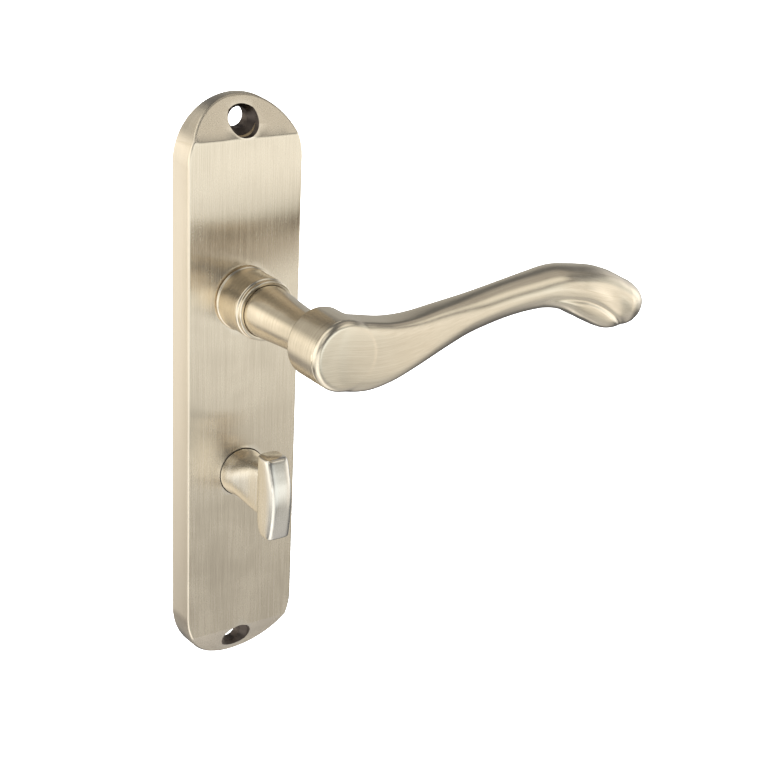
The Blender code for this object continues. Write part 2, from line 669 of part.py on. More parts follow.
# --- pieces that turn with the thumb turn ------------------------------------
def turn_shank(pivot_empty):
    """Shank that starts round at the plate and flattens into the paddle."""
    rings = []
    for i in range(SHANK_RINGS):
        out = SHANK[0][0] + (SHANK[-1][0] - SHANK[0][0]) * i / (SHANK_RINGS - 1)
        half_x, half_y, squareness = (smooth_value(SHANK, c, out) for c in (1, 2, 3))
        ring = []
        for k in range(TURN_STEPS):
            across, along = super_point(2 * math.pi * k / TURN_STEPS, squareness)
            ring.append((half_x * across * MM, half_y * along * MM, out * MM))
        rings.append(ring)
    return loft("turn_shank", rings, pivot_empty)


def turn_paddle(pivot_empty):
    """Flat paddle, lofted upwards: bulged in front, rounded at both ends."""
    rings = []
    for up, half_x, back, front in HEAD:
        ring = []
        for k in range(TURN_STEPS):
            across, outward = super_point(2 * math.pi * (k + 0.5) / TURN_STEPS, HEAD_SQUARENESS)
            out = (back + front) / 2 + outward * (front - back) / 2
            ring.append((half_x * across * MM, up * MM, out * MM))
        rings.append(ring)
    return loft("turn_paddle", rings, pivot_empty)


def thumb_turn(pivot_empty, nickel):
    groove = TURN_JOURNAL - TURN_GROOVE_DEPTH
    top = TURN_SHOULDER + TURN_INTO_SHANK
    shaft = [(0.0, top), (TURN_JOURNAL, top), (TURN_JOURNAL, GROOVE_HIGH), (groove, GROOVE_HIGH),
             (groove, GROOVE_LOW), (TURN_JOURNAL, GROOVE_LOW), (TURN_JOURNAL, JOURNAL_END),
             (0.0, JOURNAL_END)]
    turn = realised(turned("turn_journal", shaft, pivot_empty), "thumb_turn")
    join(turn, turn_shank(pivot_empty), turn_paddle(pivot_empty))
    cut(turn, square_bar("turn_socket", TURN_SQUARE + 2 * GAP, TURN_CHAMFER, -PAST,
                         TURN_SPINDLE_FRONT + 2 * GAP, pivot_empty))
    cut(turn, cross_rod("turn_pin_hole", TURN_PIN + GAP, TURN_JOURNAL + PAST, pivot_empty))
    return finish(turn, nickel)


def cross_rod(name, radius, half_length, parent):
    """Rod across the turn's journal, along X."""
    bm = bmesh.new()
    place = Matrix.Translation((0, 0, TURN_PIN_HEIGHT)) @ Matrix.Rotation(math.pi / 2, 4, "Y")
    bmesh.ops.create_cone(bm, cap_ends=True, segments=SMALL_STEPS, radius1=radius,
                          radius2=radius, depth=2 * half_length, matrix=place)
    return from_bmesh(name, bm, parent)


def turn_spindle(pivot_empty, steel):
    bar = square_bar("turn_spindle", TURN_SQUARE, TURN_CHAMFER, -SPINDLE_REACH, TURN_SPINDLE_FRONT,
                     pivot_empty)
    cut(bar, cross_rod("spindle_pin_hole", TURN_PIN + GAP, TURN_SQUARE, pivot_empty))
    return finish(bar, steel)


def build():
    clear_scene()
    nickel = principled("satin_nickel", (0.62, 0.57, 0.48), 0.34)
    steel = principled("zinc_plated_steel", (0.60, 0.61, 0.62), 0.30)
    spring_steel = principled("spring_steel", (0.22, 0.22, 0.23), 0.35)
    nylon = principled("black_nylon", (0.035, 0.035, 0.037), 0.5, metallic=0.0)

    frame = pivot("handle_frame", 0.0)
    frame.rotation_euler.x = math.pi / 2
    lever_pivot = pivot("lever_pivot", 0.0, frame)
    turn_pivot = pivot("turn_pivot", -TURN_DROP, frame)

    cover_plate(frame, nickel)
    bearing_collar(frame, nickel)
    flanged_bush("lever_bush", JOURNAL_RADIUS + GAP, COLLAR_BORE - GAP, LEVER_FLANGE,
                 LEVER_BUSH_LOW, LEVER_BUSH_HIGH, frame, nylon)
    bush = flanged_bush("turn_bush", TURN_JOURNAL + GAP, TURN_HOLE - GAP, TURN_FLANGE,
                        TURN_BUSH_LOW, TURN_BUSH_TOP, frame, nylon)
    bush.location.y = -TURN_DROP
    stop_pins(frame, steel)
    return_spring(frame, spring_steel)

    lever_handle(lever_pivot, nickel)
    wave_washer("lever_wave_washer", LEVER_WAVE_INNER, LEVER_WAVE_OUTER, LEVER_WAVE_LOW, lever_pivot,
                spring_steel)
    lever_cam(lever_pivot, steel)
    flat_washer("lever_retaining_washer", JOURNAL_RADIUS + GAP, LEVER_WASHER, WASHER_LOW,
                WASHER_HIGH, lever_pivot, steel)
    circlip("lever_circlip", JOURNAL_RADIUS - GROOVE_DEPTH + GAP, LEVER_CLIP_WIDTH, lever_pivot,
            spring_steel)
    finish(square_bar("lever_spindle", LEVER_SQUARE, LEVER_CHAMFER, -SPINDLE_REACH,
                      LEVER_SPINDLE_FRONT, lever_pivot), steel)

    thumb_turn(turn_pivot, nickel)
    turn_spindle(turn_pivot, steel)
    finish(cross_rod("turn_spindle_pin", TURN_PIN, TURN_JOURNAL - GAP, turn_pivot), spring_steel)
    wave_washer("turn_wave_washer", TURN_JOURNAL + GAP, TURN_WASHER, TURN_WAVE_LOW, turn_pivot,
                spring_steel)
    flat_washer("turn_retaining_washer", TURN_JOURNAL + GAP, TURN_WASHER, WASHER_LOW, WASHER_HIGH,
                turn_pivot, steel)
    circlip("turn_circlip", TURN_JOURNAL - TURN_GROOVE_DEPTH + GAP, TURN_CLIP_WIDTH, turn_pivot,
            spring_steel)


build()
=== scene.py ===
"""Looks for the sprung door lever handle: smooth skins for every piece, and their finishes.

Pieces are drawn in the handle's face frame (X right, Y up the door, Z out of the door) and then
stood upright, so in the world the handle faces -Y. Sizes are in metres, or in millimetres where
a comment says so.
"""

import json
import math

import bmesh
import bpy
import numpy as np
from mathutils import Matrix, Vector


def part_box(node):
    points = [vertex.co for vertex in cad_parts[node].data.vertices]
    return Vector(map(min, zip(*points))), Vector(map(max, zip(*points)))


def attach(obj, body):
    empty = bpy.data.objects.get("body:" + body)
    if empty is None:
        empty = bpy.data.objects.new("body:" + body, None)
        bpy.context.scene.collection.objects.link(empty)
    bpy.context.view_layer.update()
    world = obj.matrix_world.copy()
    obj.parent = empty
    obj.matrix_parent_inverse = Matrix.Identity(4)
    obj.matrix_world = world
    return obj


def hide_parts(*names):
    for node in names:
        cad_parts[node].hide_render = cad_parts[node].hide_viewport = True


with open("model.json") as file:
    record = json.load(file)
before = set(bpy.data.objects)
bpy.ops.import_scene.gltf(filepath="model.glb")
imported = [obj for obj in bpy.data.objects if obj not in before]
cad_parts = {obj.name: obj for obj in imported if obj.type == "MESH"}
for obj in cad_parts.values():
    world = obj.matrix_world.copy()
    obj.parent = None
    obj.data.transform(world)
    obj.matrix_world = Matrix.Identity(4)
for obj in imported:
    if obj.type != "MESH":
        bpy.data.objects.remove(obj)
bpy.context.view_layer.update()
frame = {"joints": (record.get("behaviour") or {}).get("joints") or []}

MM = 0.001
GAP = 0.3 * MM              # air between neighbouring pieces, as in the CAD
CLEAR = 1.0 * MM            # how far a hollow or a socket runs past a face
PAST = 3.0 * MM             # how far a drill runs past what it cuts
OVERLAP = 0.5 * MM          # how far joined shapes run into each other
WELD = 2e-6                 # points closer than this become one
STAND = Matrix.Rotation(math.pi / 2, 4, "X")    # face frame to world
JOINT = {joint["name"]: joint for joint in frame["joints"]}
TURN_DROP = -JOINT["turn_lock"]["pos_m"][2]
TURN_AXIS = (0.0, -TURN_DROP, 0.0)

# --- cover plate: its node's box and the CAD's own dimensions ---
PLATE_LOW, PLATE_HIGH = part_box("cover_plate")
PLATE_WIDTH = PLATE_HIGH.x - PLATE_LOW.x
PLATE_LENGTH = PLATE_HIGH.z - PLATE_LOW.z
PLATE_CENTRE = (PLATE_HIGH.z + PLATE_LOW.z) / 2
PLATE_THICKNESS = -PLATE_LOW.y
PLATE_DRAFT = 0.5 * MM
FACET_START = 80.6 * MM     # from the plate's middle to where an end starts to slope
END_THICKNESS = 3.0 * MM
FRONT_WALL = 2.2 * MM
SIDE_WALL = 2.0 * MM
FRONT_EDGE_ROUND = 0.7 * MM
ROUNDED_FROM_DEG = 45       # edges that turn more than this get that round
END_STEPS = 64              # sides of one round end
GRID = 4.0 * MM             # squares the flat faces are cut into
RIB_THICKNESS = 1.5 * MM
RIB_BACK = 1.0 * MM
CROSS_RIBS = (27.0 * MM, -21.0 * MM, -38.0 * MM, -76.0 * MM, -94.0 * MM)
SCREW_OFFSET = 85.3 * MM
SCREW_BORE = 3.2 * MM
SINK_RADIUS = 5.0 * MM
SINK_SEAT = 3.4 * MM
SCREW_BOSS = 6.2 * MM
SCREW_BOSS_TOP = 5.3 * MM
SCREW_BOSS_INSET = 1.0 * MM     # how far its top stays under the end facet
PIN_SEAT = 1.4 * MM         # how deep a pin's seat goes into the front wall

# --- lever pivot ---
COLLAR_RADIUS = 9.6 * MM
COLLAR_TOP = -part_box("bearing_collar")[0].y
COLLAR_BORE = 8.45 * MM
COLLAR_HOLE = 9.6 * MM
COLLAR_BEAD = 0.4 * MM      # how far the bead on the plate stands out
LIP_HEIGHT = 1.9 * MM
LIP_ROUND = 0.12 * MM
SWAGE_REACH = 0.7 * MM
SWAGE_HEIGHT = 0.6 * MM
JOURNAL_RADIUS = 7.0 * MM
JOURNAL_END = 0.3 * MM
SHOULDER = 22.2 * MM
GROOVE_DEPTH = 0.8 * MM
GROOVE_LOW = 0.8 * MM
GROOVE_HIGH = 2.1 * MM
FLAT_HALF = 6.1 * MM
FLAT_TOP = 4.1 * MM
LEVER_SQUARE = 8.0 * MM
LEVER_SQUARE_CHAMFER = 1.0 * MM
LEVER_SPINDLE_FRONT = -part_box("lever_spindle")[0].y

# --- lever shape, in millimetres ---
DRUM_RADIUS = 10.4
DRUM_BACK = 51.3
DRUM_FRONT = 66.7
DRUM_FRONT_ROUND = 1.9
DRUM_BACK_ROUND = 0.7
DRUM_DOME = 0.12            # how much its front bulges
DRUM_BLEND = 0.5            # how softly the arm leaves it
DRUM_RINGS = 24
HALF_DEPTH = (DRUM_FRONT - DRUM_BACK) / 2
DRUM_MIDDLE = np.array([0.0, DRUM_BACK + HALF_DEPTH])
RIM_LINE = 0.14             # depth of the turned line behind the front round
NECK = ((7.5, 51.6), (7.4, 51.3), (6.95, 50.9), (6.75, 50.2), (6.6, 47.0), (6.6, 42.0), (6.9, 37.0),
        (7.3, 32.0), (7.7, 28.0), (7.95, 25.0), (8.0, 22.2))    # radius, distance from the door
NECK_STEPS = 60
# Stations along the arm: distance from the spindle, centre height, half height, half depth,
# distance from the door, squareness of the front's upper edge, squareness elsewhere.
ARM = (
    (-6.0, 0.0, 7.4, 6.9, 59.0, 5.0, 2.8),
    (-3.0, -0.1, 9.1, 7.3, 59.1, 6.0, 2.6),
    (0.0, -0.4, 10.45, 7.5, 59.2, 7.5, 2.6),
    (8.0, -1.6, 10.3, 7.2, 59.6, 8.0, 2.8),
    (16.0, -1.6, 9.0, 6.8, 59.9, 7.0, 2.6),
    (24.0, -0.3, 7.7, 6.3, 60.1, 5.2, 2.4),
    (34.0, 2.0, 6.7, 5.75, 60.05, 3.6, 2.2),
    (46.0, 4.4, 5.8, 5.5, 59.8, 2.4, 2.05),
    (58.0, 6.5, 5.6, 5.5, 59.6, 2.1, 2.0),
    (68.0, 7.6, 5.8, 6.1, 59.3, 2.1, 2.1),
    (77.0, 7.8, 6.5, 6.9, 59.1, 2.2, 2.2),
    (85.0, 5.45, 7.95, 7.5, 59.0, 2.3, 2.3),
    (93.0, 2.7, 9.2, 7.8, 59.0, 2.3, 2.4),
    (99.0, 1.0, 8.8, 7.8, 59.0, 2.3, 2.4),
    (104.0, -0.5, 7.7, 7.8, 59.0, 2.3, 2.4),
)
ARM_END = ARM[-1][0]
# Runs of rings along the arm: first, last and how many.
ARM_RINGS = ((0.0, DRUM_RADIUS, 48), (10.6, 12.4, 5), (13.2, 64.0, 60), (64.6, ARM_END, 80))
# The front's lower edge is squarer by this much near the drum, until it fades between two distances,
LOWER_EDGE, LOWER_EDGE_FADES = 3.4, (14.0, 46.0)
# and again on the scroll, where it comes and goes.
SCROLL_EDGE, SCROLL_EDGE_COMES, SCROLL_EDGE_GOES = 3.0, (70.0, 86.0), (94.0, 104.0)
ARM_TIP = 111.25
ARM_TIP_HEIGHT = -1.0
TIP_RINGS = 26
TIP_START_DEG = 15.0        # how far round its curve the arm's end begins
TIP_END_DEG = 89.0
TIP_SLOPE = -0.25           # how the arm's middle falls as the end begins
TIP_DEPTH = 0.35            # share of the arm's depth that the end keeps
# The scroll's ridge and, above it, the faint flute, each as (distance, height) on the front.
RIDGE = ((60.0, 3.4), (69.0, 4.4), (75.7, 4.4), (83.5, 3.0), (87.3, 1.8), (91.1, 0.0), (95.0, -2.5),
         (99.0, -5.8), (101.0, -9.5))
FLUTE = ((60.0, 9.0), (71.0, 9.5), (78.0, 9.3), (86.0, 8.3), (90.6, 6.9), (94.2, 5.0), (97.2, 2.4),
         (99.6, -0.4), (101.2, -3.0), (102.2, -6.0), (102.6, -9.5))
SCROLL_START = 60.0
SCROLL_CUTS = ((0.55, 1.0, 0.8), (0.22, 2.4, 1.6))      # depth, height over the ridge, width
SCROLL_GROWS, SCROLL_FADES = (60.0, 97.0), (99.0, 108.0)    # where the cuts deepen, then halve
FLUTE_DEPTH, FLUTE_WIDTH = (0.25, 0.35), (1.3, 1.9)     # where it starts, and what it gains
FLUTE_GROWS, FLUTE_LEAN = (82.0, 98.0), 0.35
SCROLL_FRONT = (0.02, 0.4)      # shares of the half depth over which the cuts come in
SCROLL_RIM = 3.5            # they fade this close to the lower edge

# --- thumb turn ---
TURN_HOLE = 7.9 * MM
TURN_BOSS = 10.4 * MM
TURN_BOSS_BACK = 4.8 * MM
TURN_JOURNAL = 5.3 * MM
TURN_GROOVE_DEPTH = 0.7 * MM
TURN_SHOULDER = 8.7 * MM
INTO_SHANK = 1.5 * MM       # how far the journal runs into the shank
TURN_SQUARE = 5.0 * MM
TURN_SQUARE_CHAMFER = 0.5 * MM
TURN_SPINDLE_FRONT = -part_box("turn_spindle")[0].y
TURN_PIN = 1.0 * MM
TURN_PIN_HEIGHT = 6.0 * MM
HEAD_SQUARENESS = 4.6
# Paddle sections, in millimetres: height over the axis, half width, back and front distances.
HEAD = ((-13.6, 3.2, 28.6, 31.8), (-13.1, 3.7, 26.9, 32.6), (-11.9, 3.85, 25.5, 33.1),
        (-9.5, 3.9, 24.5, 33.6), (-6.0, 3.9, 24.3, 34.1), (-1.0, 3.9, 24.3, 34.4),
        (4.0, 3.9, 24.3, 33.9), (8.0, 3.9, 24.3, 32.8), (11.0, 3.85, 24.3, 31.8),
        (12.2, 3.6, 24.4, 31.3), (12.6, 3.1, 24.8, 30.9))
HEAD_END_RINGS, HEAD_RINGS = 7, 44
# Shank sections, in millimetres: distance out, half width across, half width up, squareness.
SHANK = ((8.7, 7.72, 7.72, 2.0), (10.2, 7.6, 7.6, 2.0), (13.5, 6.4, 7.3, 2.2), (17.0, 5.2, 7.5, 2.9),
         (21.0, 4.2, 8.0, 3.8), (25.5, 3.6, 8.3, 4.6))
SHANK_RINGS = 34

# --- pieces on the pivots, as in the CAD ---
FLANGE_THICKNESS = 0.7 * MM
BUSH_EDGE = 0.15 * MM
WASHER_EDGE = 0.08 * MM
STOP_PIN_EDGE = 0.3 * MM
SPRING_PIN_EDGE = 0.2 * MM
SPINDLE_ROUND = 0.25 * MM
WAVES = 3
WAVE_SWING = 0.16 * MM
WAVE_EDGE = 0.06 * MM
WAVE_AIR = 0.4 * MM         # round the lever's journal
CLIP_ROUND = 0.07 * MM
LEVER_CLIP_WIDTH = 2.2 * MM
TURN_CLIP_WIDTH = 2.0 * MM
CLIP_EAR = 1.25 * MM
CLIP_EYE = 0.55 * MM
CLIP_EAR_INSET = 0.2 * MM
CLIP_EAR_DEG = 3.0          # from the gap's edge to an ear's middle
CLIP_HALF_GAP_DEG = 14.0
CLIP_STEPS = 88
CAM_LOW = 2.9 * MM
CAM_HIGH = 3.9 * MM
CAM_RADIUS = 11.2 * MM
CAM_ROUND = 0.12 * MM
LUG_INNER = 13.8 * MM
LUG_OUTER = 15.4 * MM
LUG_WIDTH = 4.0 * MM
LUG_DEG = 110.0
SPRING_RADIUS = 12.6 * MM
SPRING_WIRE = 0.45 * MM
SPRING_PITCH = 1.25 * MM
SPRING_START_DEG = 258.0
SPRING_SWEEP_DEG = 561.0
SPRING_STEP_DEG = 6.0
SPRING_LEG = 16.2 * MM
SPRING_LEG_STEPS = 12
SPRING_LEG_BEND_DEG = 1.2
SPRING_LEG_CLEAR = 0.12 * MM
SPRING_LOW = 6.4 * MM
WIRE_SIDES = 16

# --- finishes and studio ---
LATHE_STEPS = 128
FINE = 4.0                  # brush marks to a millimetre, across
LONG = 0.06                 # and along
WALLS_APART = 400.0         # keeps the marks of the plate's two walls different
HOLE_WALL_SHADE = (0.16, 0.13, 0.11)    # painted shade: dark colour on the walls of the screw holes
WORN_NICKEL = (0.88, 0.80, 0.67)
WEAR_SPAN = 0.07            # from no wear to full wear, in how sharply the mesh turns
FLOOR = -0.34
FLOOR_SIZE = 4.0
LAMP_PLACE, LAMP_SIZE, LAMP_POWER = (1.2, 1.6, 2.8), 6.0, 640.0
VIEW_AZIMUTH, VIEW_ELEVATION, VIEW_ROLL = 0.608, 0.372, 0.05    # radians
VIEW_TARGET = Vector((37.94, -30.0, -27.22)) * MM
VIEW_DISTANCE = 499.9 * MM
LENS = 75.9
# The room's soft lights: degrees round from straight in front of the door towards the right,
# degrees above the horizon, how far each one spreads in degrees, and its colour and strength.
ROOM_LIGHTS = (
    (13, -6, 25, (1.15, 1.25, 1.3)),
    (48, -9, 27, (0.85, 0.82, 0.78)),
    (72, 4, 32, (0.85, 0.88, 0.88)),
    (98, 5, 34, (0.8, 0.8, 0.82)),
    (40, -28, 26, (0.14, 0.14, 0.12)),
    (-38, -24, 42, (1.35, 1.38, 1.38)),
    (-98, 4, 44, (1.5, 1.5, 1.45)),
    (-137, -6, 31, (0.9, 0.86, 0.77)),
    (-150, -36, 30, (0.25, 0.23, 0.2)),
    (-150, 26, 32, (0.35, 0.33, 0.28)),
    (-112, 54, 32, (1.1, 1.1, 1.05)),
    (-60, -70, 42, (0.9, 0.9, 0.9)),
    (30, -60, 42, (0.45, 0.45, 0.46)),
    (150, 5, 36, (0.32, 0.31, 0.28)),
    (-48, 38, 24, (0.8, 0.8, 0.77)),
    (80, 62, 30, (0.35, 0.33, 0.3)),
    (33, 38, 22, (0.95, 0.93, 0.87)),
    (32, 10, 20, (0.2, 0.2, 0.18)),
)
ROOM_DIM = (0.17, 0.175, 0.185)     # light from everywhere else


# --- mesh helpers ---
def linked(name, mesh):
    made = bpy.data.objects.new(name, mesh)
    bpy.context.scene.collection.objects.link(made)
    return made


def tidied(item):
    """Weld what coincides and turn every face outwards."""
    bm = bmesh.new()
    bm.from_mesh(item.data)
    bmesh.ops.remove_doubles(bm, verts=bm.verts[:], dist=WELD)
    bmesh.ops.dissolve_degenerate(bm, edges=bm.edges[:], dist=WELD)
    bmesh.ops.recalc_face_normals(bm, faces=bm.faces[:])
    bm.to_mesh(item.data)
    bm.free()
    return item


def skin(rings, name, closed=False):
    """Quads between rings of equal length; the ends get caps unless the rings close on themselves."""
    count, sides = len(rings), len(rings[0])
    verts = [tuple(point) for ring in rings for point in ring]
    faces = []
    for i in range(count if closed else count - 1):
        near, far = i * sides, ((i + 1) % count) * sides
        for k in range(sides):
            j = (k + 1) % sides
            faces.append((near + k, near + j, far + j, far + k))
    if not closed:
        faces.append(tuple(range(sides)))
        faces.append(tuple(range((count - 1) * sides, count * sides)))
    mesh = bpy.data.meshes.new(name)
    mesh.from_pydata(verts, [], faces)
    return tidied(linked(name, mesh))


def turned(name, profile, closed=False, steps=LATHE_STEPS):
    """Turn a (radius, height) profile round Z."""
    angles = [2 * math.pi * k / steps for k in range(steps)]
    rings = [[(radius * math.cos(angle), radius * math.sin(angle), height) for angle in angles]
             for radius, height in profile]
    return skin(rings, name, closed)


def arc(centre, radius, start_deg, end_deg, count):
    """Points on a round of a turned profile."""
    points = []
    for i in range(count + 1):
        angle = math.radians(start_deg + (end_deg - start_deg) * i / count)
        points.append((centre[0] + radius * math.cos(angle), centre[1] + radius * math.sin(angle)))
    return points


def rod(name, radius, low, high, x=0.0, y=0.0, steps=64):
    made = turned(name, [(radius, high), (radius, low)], steps=steps)
    made.data.transform(Matrix.Translation((x, y, 0.0)))
    return made


def block(name, low, high, chamfer=0.0):
    """Box between two corners, its edges along Z chamfered if asked."""
    bm = bmesh.new()
    low, high = Vector(low), Vector(high)
    scale = Matrix.Diagonal((*(high - low), 1.0))
    bmesh.ops.create_cube(bm, size=1.0, matrix=Matrix.Translation((low + high) / 2) @ scale)
    if chamfer:
        upright = [e for e in bm.edges if (e.verts[0].co - e.verts[1].co).normalized().z ** 2 > 0.9]
        bmesh.ops.bevel(bm, geom=upright, offset=chamfer, segments=1, profile=0.5, affect="EDGES")
    return from_bmesh(name, bm)


def from_bmesh(name, bm):
    bmesh.ops.recalc_face_normals(bm, faces=bm.faces[:])
    mesh = bpy.data.meshes.new(name)
    bm.to_mesh(mesh)
    bm.free()
    return linked(name, mesh)


def square_bar(name, width, chamfer, low, high):
    half = width / 2
    return block(name, (-half, -half, low), (half, half, high), chamfer)


def boolean(target, operation, tools):
    """Use tools up on a target, one after another."""
    for tool in tools:
        step = target.modifiers.new(tool.name, "BOOLEAN")
        step.operation = operation
        step.object = tool
        step.solver = "EXACT"
        applied(target)
        bpy.data.objects.remove(tool, do_unlink=True)
    return target


def cut(target, *tools):
    return boolean(target, "DIFFERENCE", tools)


def join(target, *tools):
    return boolean(target, "UNION", tools)


def applied(item):
    """Bake an object's modifiers into its mesh."""
    graph = bpy.context.evaluated_depsgraph_get()
    mesh = bpy.data.meshes.new_from_object(item.evaluated_get(graph))
    item.modifiers.clear()
    item.data = mesh
    return tidied(item)


def smooth_column(stations, column, at):
    """Values of one column at distances, on a smooth curve through the stations."""
    xs = np.array([row[0] for row in stations])
    ys = np.array([row[column] for row in stations])
    slopes = np.gradient(ys, xs)
    slopes[1:-1] = (ys[2:] - ys[:-2]) / (xs[2:] - xs[:-2])
    at = np.clip(np.asarray(at, float), xs[0], xs[-1])
    i = np.clip(np.searchsorted(xs, at, side="right") - 1, 0, len(xs) - 2)
    width = xs[i + 1] - xs[i]
    t = (at - xs[i]) / width
    first = (1 + 2 * t) * (1 - t) ** 2 * ys[i] + t * (1 - t) ** 2 * width * slopes[i]
    return first + t * t * (3 - 2 * t) * ys[i + 1] - t * t * (1 - t) * width * slopes[i + 1]


def soft_step(value, low, high):
    t = np.clip((value - low) / (high - low), 0.0, 1.0)
    return t * t * (3 - 2 * t)


def smooth_path(points, per_span=12):
    """Points on a smooth curve through control points."""
    stations = [(i, *point) for i, point in enumerate(points)]
    at = np.linspace(0, len(points) - 1, (len(points) - 1) * per_span + 1)
    return np.stack([smooth_column(stations, 1, at), smooth_column(stations, 2, at)], axis=1)


def signed_distance(points, path):
    """Distance of 2D points from a path, positive on the left of its travel."""
    start, step = path[:-1], np.diff(path, axis=0)
    offset = points[:, None, :] - start[None]
    along = np.clip((offset * step).sum(-1) / (step ** 2).sum(-1), 0.0, 1.0)
    away = offset - along[..., None] * step
    distance = np.linalg.norm(away, axis=-1)
    nearest = distance.argmin(axis=1)
    rows = np.arange(len(points))
    cross = step[nearest, 0] * away[rows, nearest, 1] - step[nearest, 1] * away[rows, nearest, 0]
    return np.copysign(distance[rows, nearest], cross)


# --- cover plate ---
def facet_plane(side, inset):
    """Point and outward normal of an end facet, moved in by a wall."""
    run = PLATE_LENGTH / 2 - FACET_START
    drop = PLATE_THICKNESS - END_THICKNESS
    normal = Vector((0.0, side * drop, run)).normalized()
    crease = Vector((0.0, PLATE_CENTRE + side * FACET_START, PLATE_THICKNESS))
    return crease - normal * inset, normal


def sliced(bm, point, normal, cut_off=False):
    """Cut a mesh along a plane, and if asked drop what lies outside and close the cut."""
    found = bmesh.ops.bisect_plane(bm, geom=bm.verts[:] + bm.edges[:] + bm.faces[:], dist=1e-7,
                                   plane_co=point, plane_no=normal, clear_outer=cut_off)
    if cut_off:
        rim = [e for e in found["geom_cut"] if isinstance(e, bmesh.types.BMEdge)]
        bmesh.ops.contextual_create(bm, geom=rim)


def plate_block(inset, low, high):
    """Long block with round, drafted sides and sloping end facets."""
    radius = PLATE_WIDTH / 2 - inset
    lean = PLATE_DRAFT * (high - low) / PLATE_THICKNESS
    straight = (PLATE_LENGTH - PLATE_WIDTH) / 2
    bm = bmesh.new()
    loops = []
    for height, out in ((low, radius), (high, radius - lean)):
        loop = []
        for end in (1, -1):
            for k in range(END_STEPS + 1):
                angle = math.pi * k / END_STEPS + (0.0 if end > 0 else math.pi)
                place = (out * math.cos(angle), out * math.sin(angle) + end * straight + PLATE_CENTRE)
                loop.append(bm.verts.new((*place, height)))
        loops.append(loop)
    bm.faces.new(loops[0])
    bm.faces.new(loops[1])
    for k in range(len(loops[0])):
        j = (k + 1) % len(loops[0])
        bm.faces.new((loops[0][k], loops[0][j], loops[1][j], loops[1][k]))
    bmesh.ops.recalc_face_normals(bm, faces=bm.faces[:])
    for side in (1, -1):
        point, normal = facet_plane(side, inset)
        sliced(bm, point, normal, cut_off=True)
    return bm


def rounded_plate():
    """The solid outside of the plate, edges rounded and flats cut into a grid."""
    bm = plate_block(0.0, 0.0, PLATE_THICKNESS)
    bmesh.ops.recalc_face_normals(bm, faces=bm.faces[:])
    outer = [edge for edge in bm.edges if math.degrees(edge.calc_face_angle(0.0)) > ROUNDED_FROM_DEG
             and min(vert.co.z for vert in edge.verts) >= END_THICKNESS / 2]
    bmesh.ops.bevel(bm, geom=outer, offset=FRONT_EDGE_ROUND, segments=4, profile=0.5,
                    affect="EDGES", clamp_overlap=True)
    for up in np.arange(PLATE_LOW.z + GRID, PLATE_HIGH.z, GRID):
        sliced(bm, Vector((0.0, up, 0.0)), Vector((0.0, 1.0, 0.0)))
    for x in np.arange(PLATE_LOW.x + GRID, PLATE_HIGH.x, GRID):
        sliced(bm, Vector((x, 0.0, 0.0)), Vector((1.0, 0.0, 0.0)))
    return from_bmesh("plate_casting", bm)


def screw_boss(up, side):
    """Pillar round a screw hole, from the door up into the sloping end wall."""
    bm = bmesh.new()
    bmesh.ops.create_cone(bm, cap_ends=True, segments=64, radius1=SCREW_BOSS, radius2=SCREW_BOSS,
                          depth=SCREW_BOSS_TOP, matrix=Matrix.Translation((0.0, up, SCREW_BOSS_TOP / 2)))
    point, normal = facet_plane(side, SCREW_BOSS_INSET)
    sliced(bm, point, normal, cut_off=True)
    return from_bmesh("screw_boss", bm)


def screw_drill(up):
    """Cutter for a countersunk screw hole."""
    profile = [(SINK_RADIUS, PLATE_THICKNESS + PAST), (SINK_RADIUS, SINK_SEAT + SINK_RADIUS - SCREW_BORE),
               (SCREW_BORE, SINK_SEAT), (SCREW_BORE, -PAST)]
    drill = turned("drill", profile, steps=96)
    drill.data.transform(Matrix.Translation((0.0, up, 0.0)))
    return drill


def pin_places():
    """Middle of each pin behind the plate, in the face frame, from its CAD node."""
    places = {}
    for name in ("rest_stop_pin", "down_stop_pin", "spring_anchor_pin"):
        low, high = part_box(name)
        places[name] = ((low.x + high.x) / 2, (low.z + high.z) / 2, (high.x - low.x) / 2)
    return places


def plate_casting():
    plate = rounded_plate()
    wall_back = PLATE_THICKNESS - FRONT_WALL
    into_wall = wall_back + OVERLAP
    cut(plate, from_bmesh("hollow", plate_block(SIDE_WALL, -CLEAR, wall_back)))
    half = PLATE_WIDTH / 2 - SIDE_WALL + OVERLAP
    for up in CROSS_RIBS:
        low = (-half, up - RIB_THICKNESS / 2, RIB_BACK)
        join(plate, block("rib", low, (half, up + RIB_THICKNESS / 2, into_wall)))
    for side in (1, -1):
        join(plate, screw_boss(PLATE_CENTRE + side * SCREW_OFFSET, side))
    join(plate, rod("turn_boss", TURN_BOSS, TURN_BOSS_BACK, into_wall, y=-TURN_DROP))
    for side in (1, -1):
        cut(plate, screw_drill(PLATE_CENTRE + side * SCREW_OFFSET))
    through = (-PAST, PLATE_THICKNESS + PAST)
    cut(plate, rod("collar_hole", COLLAR_HOLE, *through, steps=96))
    cut(plate, rod("turn_hole", TURN_HOLE, *through, y=-TURN_DROP, steps=96))
    for x, up, radius in pin_places().values():
        cut(plate, rod("pin_seat", radius + GAP, 0.0, wall_back + PIN_SEAT, x, up, 32))
    return plate


